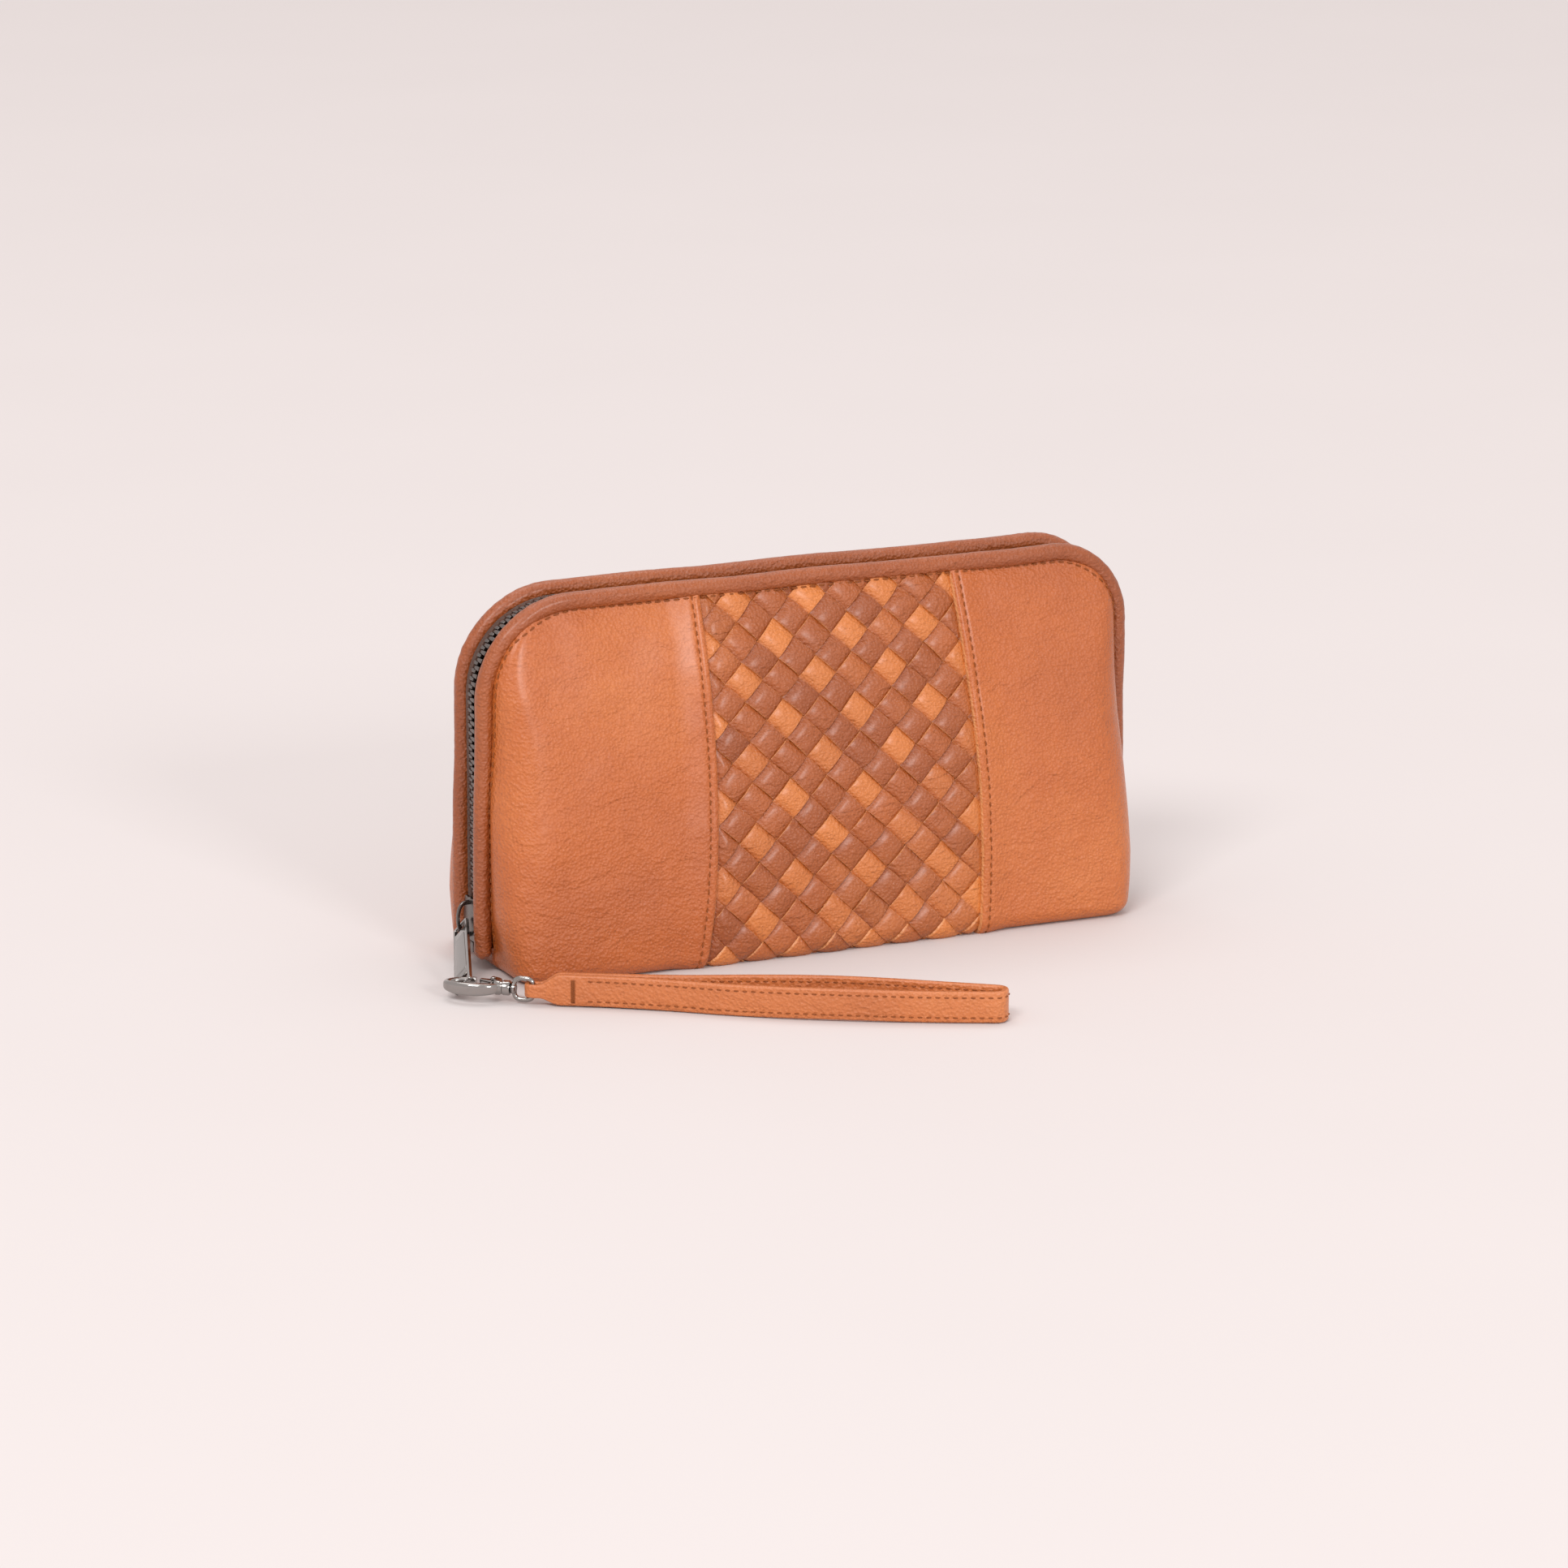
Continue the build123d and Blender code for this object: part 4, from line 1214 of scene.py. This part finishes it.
# ---------------------------------------------------------------- strap
def strap_plan():
    """Where the folded band starts at the bar, which way it runs and how long it is, in its own plan."""
    eye, _ = joint("strap_swing")
    far = Vector((strap_high.x - 2.5, strap_low.y + 2.9, 0))
    run = far - Vector((eye.x, eye.y, 0))
    return eye, run.normalized(), run.length + 2.6


def strap_path():
    """Closed plan line of the band: round the ring's bar, out along the loop and back."""
    eye, along, length = strap_plan()
    side = Vector((-along.y, along.x, 0))
    corner = [(-1.72, 0.0), (-1.2, 1.25), (0.4, 1.72), (3.2, 1.3), (6.5, 1.12), (15.0, 1.14), (24.0, 1.3),
              (40.0, 2.5), (60.0, 5.2), (80.0, 6.5), (100.0, 6.2), (118.0, 4.9), (128.0, 3.9)]
    stretch = (length - 1.2) / 134.5
    upper = [(a * (stretch if a > 24 else 1.0), b) for a, b in corner]
    nose = [(length - 2.3, 2.9), (length - 1.1, 0.0)]
    lower = [(a, -b * (0.93 if a > 24 else 1.0)) for a, b in reversed(upper[1:])]
    lower = [(length - 2.3, -2.9)] + lower
    plan = upper + nose + lower
    spline = []
    count = len(plan)
    for k in range(count):
        p0, p1, p2, p3 = (Vector((*plan[(k + d) % count], 0)) for d in (-1, 0, 1, 2))
        for i in range(8):
            t = i / 8
            a = p1 * 2 + (p2 - p0) * t + (p0 * 2 - p1 * 5 + p2 * 4 - p3) * t * t
            spline.append((a + (p1 * 3 - p0 - p2 * 3 + p3) * t ** 3) * 0.5)
    flat = Vector((eye.x, eye.y, 0))
    return [flat + along * p.x + side * p.y for p in spline]


def make_strap():
    eye, along, _ = strap_plan()
    path = resample(strap_path(), 0.8, closed=True)
    flat = Vector((eye.x, eye.y, 0))
    width = strap_high.z - strap_low.z
    thick = 2.05
    pinched = 3.9         # band's width where it goes round the bar
    count = len(path)

    def near(k):
        return (path[k] - flat).dot(along)

    def band(k):
        """Height of the band's middle and its width: pinched where it goes round the bar."""
        share = smooth((near(k) - 1.5) / 6.5)
        tall = pinched + (width - 0.5 - pinched) * share
        wave = 0.12 * math.sin(near(k) * 0.09)
        return eye.z + (width / 2 + 0.05 - eye.z) * share + wave * share, tall

    def outward(k):
        tangent = (path[(k + 1) % count] - path[k - 1]).normalized()
        return Vector((tangent.y, -tangent.x, 0))

    pile = Pile()
    points, edges = [], []
    for k in range(count):
        side = outward(k)
        middle, tall = band(k)
        slim = thick if near(k) > 7 else 1.5 + 0.08 * max(0.0, near(k))
        for a, b in rounded(slim, tall, slim * 0.36, 4):
            dent = 0.13 * math.exp(-((abs(b) - tall / 2 + 1.6) / 0.5) ** 2) if near(k) > 8 else 0.0
            a = a - math.copysign(dent, a) if abs(b) < tall / 2 - 0.3 else a
            points.append(path[k] + side * a + Vector((0, 0, middle + b)))
            edges.append(0.8 if abs(a) < slim * 0.2 else 0.0)
    ring = len(points) // count
    pile.add(points, grid_faces(count, ring, wrap_rows=True, wrap_columns=True), tone=0.05, edge=edges)
    thing = pile.make("wrist_strap_band", STRAP)
    carry(thing, "strap", "strap_leather", "wrist_strap")
    sewing = Pile()
    for face in (-1, 1):
        for row in (-1, 1):
            line, outs = [], []
            for k in range(count):
                if near(k) < 15:
                    continue
                side = outward(k)
                middle, tall = band(k)
                level = middle + row * (tall / 2 - 1.6)
                line.append(path[k] + side * face * (thick / 2 - 0.1) + Vector((0, 0, level)))
                outs.append(side * face)
            stitch_row(sewing, line, outs, length=1.75, gap=0.75, radius=0.22, sink=0.05)
    side = Vector((-along.y, along.x, 0))
    for k in range(3):
        center = flat + along * (11.4 + 0.42 * k) + Vector((0, 0, width / 2))
        for face in (-1, 1):
            line = [center + side * face * 2.2 + Vector((0, 0, -3.4 + 6.8 * i / 8)) for i in range(9)]
            points, faces = sweep(line, lambda k, t: circle(0.19, 7), up=side)
            sewing.add(points, faces)
    carry(sewing.make("strap_stitches", THREAD), "strap", "strap_leather")


# ---------------------------------------------------------------- build
def build_half(half):
    """Every piece of one half; the rear is the front's mirror image, with its own weave."""
    trees = []
    sewing = Pile()
    for side, label in ((-1, "left"), (1, "right")):
        grid, normals, lifts = plain_panel(side, label, half)
        seam_stitches(sewing, grid, normals, lifts)
        trees.append(surface_of(grid, normals, lifts))
    middle = []
    for z, _, depth in LEVELS[-1]:
        row = [soften(Vector((x, -depth, z))) for x in (woven_low.x, -20, 0, 20, woven_high.x + 4)]
        middle.append(row)
    trees.append(surface_of(middle, grid_normals(middle), [0.75] * 5))
    ditch = ditch_line(trees)
    stitch_row(sewing, [p for p, _ in ditch], [n for _, n in ditch], length=2.1, gap=0.8, radius=0.26)
    place_half(for_half(sewing, half).make(f"{half}_stitches", THREAD), half, "tan_leather")
    sign = 1 if half == "front" else -1
    span = sorted((sign * FLAT, sign * PROFILE[-1][0]))
    woven = woven_part(f"{half}_woven_leather", span)
    place_half(woven, half, "woven_leather", f"{half}_woven_panel")
    make_binding(half)
    make_tape(half)
    make_teeth(half)
    inner_skin(half, "stiffener", 1.75, 0.8, BOARD, "stiffener_board", 10, 90, 82, f"{half}_board")
    inner_skin(half, "lining_sheet", 2.9, 0.4, LINING, "lining_cloth", FOLD_Z + 1.5, PANEL_Z - 1, None,
               f"{half}_lining")
    for side, label in ((-1, "left"), (1, "right")):
        make_gusset(half, side, label)


for half in ("front", "rear"):
    build_half(half)
carry(woven_part("base_woven_leather", (-FLAT, FLAT)), "base", "woven_leather", "base_woven_panel")
for side, label in ((-1, "left"), (1, "right")):
    base_panel(side, label)
    end_wall(side, label)
make_slider()
make_puller()
make_hook()
make_ring()
make_strap()


# ---------------------------------------------------------------- coin pouch and the pockets' sewing
def pouch_puff(share):
    """How full the pouch is at a share of its height."""
    return 0.45 * math.sin(math.pi * share ** 0.7)


def pouch_ring(width, depth, level, puff):
    """One level of the pouch's wall: a rounded oblong, a little fuller in the middle."""
    outline = rounded(width, depth, min(1.8, depth * 0.4), 4)
    loop = resample([Vector((x, y, level)) for x, y in outline], 3.0, True)
    ring = []
    for point in loop:
        full = puff * math.cos(math.pi * point.x / (width * 1.04))
        ring.append(point + Vector((0, math.copysign(full, point.y), 0)))
    return ring


def make_pouch():
    low, high = box_mm("coin_pouch")
    width, depth = high.x - low.x, high.y - low.y
    rows = 34
    pile = Pile()
    outer, inner = [], []
    for r in range(rows + 1):
        share = r / rows
        level = low.z + (high.z - low.z) * share
        puff = pouch_puff(share)
        pinch = 1.1 * (1 - smooth(share * 14))
        outer.append(pouch_ring(width - pinch, depth - pinch, level, puff))
        inner.append(pouch_ring(width - 2.0, depth - 2.0, max(level, low.z + 1.0), puff))
    count = min(len(ring) for ring in outer + inner)
    outer = [ring[:count] for ring in outer]
    inner = [ring[:count] for ring in inner]
    rings = outer + list(reversed(inner))
    points = [p for ring in rings for p in ring]
    faces = grid_faces(len(rings), count, wrap_columns=True)
    faces.append(tuple(range(count)))
    faces.append(tuple(reversed(range(len(points) - count, len(points)))))
    edge = [1.0 if r in (rows, rows + 1) else 0.0 for r in range(len(rings)) for _ in range(count)]
    pile.add(points, faces, edge=edge)
    carry(pile.make("coin_pouch_leather", POCKET), "coin_leaf", "lining_leather", "coin_pouch")
    sewing = Pile()
    for face in (-1, 1):
        corners = [(low.x + 3, high.z - 2.2), (low.x + 3, low.z + 3), (high.x - 3, low.z + 3),
                   (high.x - 3, high.z - 2.2)]
        line = resample([Vector((x, 0, z)) for x, z in corners + corners[:1]], 1.5)
        path = []
        for point in line:
            share = (point.z - low.z) / (high.z - low.z)
            full = pouch_puff(share) * math.cos(math.pi * point.x / (width * 1.04))
            path.append(point + Vector((0, face * (depth / 2 + full), 0)))
        stitch_row(sewing, path, [Vector((0, face, 0))] * len(path), length=2.2, gap=0.9, radius=0.22)
    carry(sewing.make("coin_pouch_stitches", THREAD), "coin_leaf", "lining_leather")


def sew_pockets(node, body, sign):
    """Rows of stitches along the mouths of a set of pockets, laid on its faces."""
    mesh = frame["nodes"][node].data
    tree = BVHTree.FromPolygons([v.co / MM for v in mesh.vertices],
                                [tuple(f.vertices) for f in mesh.polygons])
    low, high = box_mm(node)
    sewing = Pile()
    middle = (low.x + high.x) / 2
    start, stop = low.x + 2, high.x - 2
    columns = [(start, middle - 3), (middle + 3, stop)] if sign < 0 else [(start, stop)]

    def seat(x, z):
        place, normal, _, _ = tree.ray_cast(Vector((x, 0, z)), Vector((0, sign, 0)))
        if place is None:
            return None
        return place, (normal if normal.y * sign < 0 else -normal)

    for start, stop in columns:
        center = (start + stop) / 2
        mouths, z = [], high.z - 0.1
        before = None
        while z > low.z:
            hit = seat(center, z)
            depth = hit[0].y * sign if hit else None
            if depth is not None and (before is None or before - depth > 0.5):
                mouths.append(z)
            before = depth if depth is not None else before
            z -= 0.2
        steps = 60
        for mouth in mouths:
            hits = [seat(start + (stop - start) * i / steps, mouth - 1.9) for i in range(steps + 1)]
            hits = [hit for hit in hits if hit]
            if len(hits) > 2:
                stitch_row(sewing, [h[0] for h in hits], [h[1] for h in hits], length=2.2, gap=0.9,
                           radius=0.2)
    carry(sewing.make(f"{node}_stitches", THREAD), body, "lining_leather")


make_pouch()
sew_pockets("front_card_pockets", "front_half", -1)
sew_pockets("rear_slip_pocket", "rear_half", 1)


# ---------------------------------------------------------------- CAD nodes that keep their shape
def dress(node, material, bevel):
    """Material for a kept CAD node, its edges rounded by the bevel if there is one."""
    thing = frame["nodes"][node]
    thing.data.materials.clear()
    thing.data.materials.append(material)
    if bevel:
        edge = thing.modifiers.new("soft_edges", "BEVEL")
        edge.width = bevel * MM
        edge.segments = 2
        edge.limit_method = "ANGLE"


for node, material, bevel in (
    ("front_card_pockets", POCKET, 0.2),
    ("rear_slip_pocket", POCKET, 0.2),
    ("base_lining", LINING, 0.0),
    ("base_board", BOARD, 0.0),
    ("coin_zip_tape", TAPE, 0.0),
    ("coin_zip_teeth", GUNMETAL, 0.12),
    ("zip_top_stops", GUNMETAL, 0.1),
    ("zip_bottom_stop", GUNMETAL, 0.1),
    ("coin_zip_slider", GUNMETAL, 0.1),
    ("coin_zip_pull", NICKEL, 0.15),
    ("gate_spring", NICKEL, 0.0),
):
    dress(node, material, bevel)


# ---------------------------------------------------------------- floor, light and camera
def make_stage():
    n = Nodes("floor_look")
    tint = n.ramp(n.noise(6, 2), [(0.3, (0.655, 0.614, 0.605)), (0.7, (0.662, 0.621, 0.612))])
    floor_look = n.finish(tint, 0.9, Specular_IOR_Level=0.05)
    size = 6.0
    mesh = bpy.data.meshes.new("floor")
    corners = [(-size, -size, 0), (size, -size, 0), (size, size, 0), (-size, size, 0)]
    mesh.from_pydata(corners, [], [(0, 1, 2, 3)])
    mesh.materials.append(floor_look)
    floor = bpy.data.objects.new("floor", mesh)
    bpy.context.scene.collection.objects.link(floor)
    world = bpy.data.worlds.new("studio")
    bpy.context.scene.world = world
    world.use_nodes = True
    back = world.node_tree.nodes["Background"]
    back.inputs["Color"].default_value = (0.87, 0.81, 0.80, 1)
    back.inputs["Strength"].default_value = 0.92


def area_light(name, place, target, size, power):
    data = bpy.data.lights.new(name, "AREA")
    data.shape = "RECTANGLE"
    data.size, data.size_y = size
    data.energy = power
    light = bpy.data.objects.new(name, data)
    light.location = place
    light.rotation_mode = "QUATERNION"
    light.rotation_quaternion = (Vector(target) - Vector(place)).to_track_quat("-Z", "Y")
    bpy.context.scene.collection.objects.link(light)


def make_camera():
    """Long lens from the wallet's front left, a little above it."""
    data = bpy.data.cameras.new("camera")
    camera = bpy.data.objects.new("camera", data)
    azimuth, elevation = math.radians(-24), math.radians(14.3)
    target = Vector((0, 0, 0.056))
    back = Vector((math.sin(azimuth) * math.cos(elevation), -math.cos(azimuth) * math.cos(elevation),
                   math.sin(elevation)))
    camera.location = target + back * 1.95
    camera.rotation_mode = "QUATERNION"
    camera.rotation_quaternion = (-back).to_track_quat("-Z", "Y")
    data.lens = 151.5
    data.sensor_width = 36.0
    data.shift_x = -0.0057
    data.shift_y = -0.0254
    bpy.context.scene.collection.objects.link(camera)
    bpy.context.scene.camera = camera


make_stage()
area_light("key", (-2.6, -2.6, 3.6), (0, 0, 0.05), (1.8, 1.4), 105)
area_light("front", (0.5, -4.6, 1.85), (0, 0, 0.06), (1.0, 0.7), 72)
area_light("top", (0.3, 1.6, 4.6), (0, 0, 0.05), (3.0, 2.4), 60)
make_camera()
bpy.context.scene.view_settings.view_transform = "Standard"
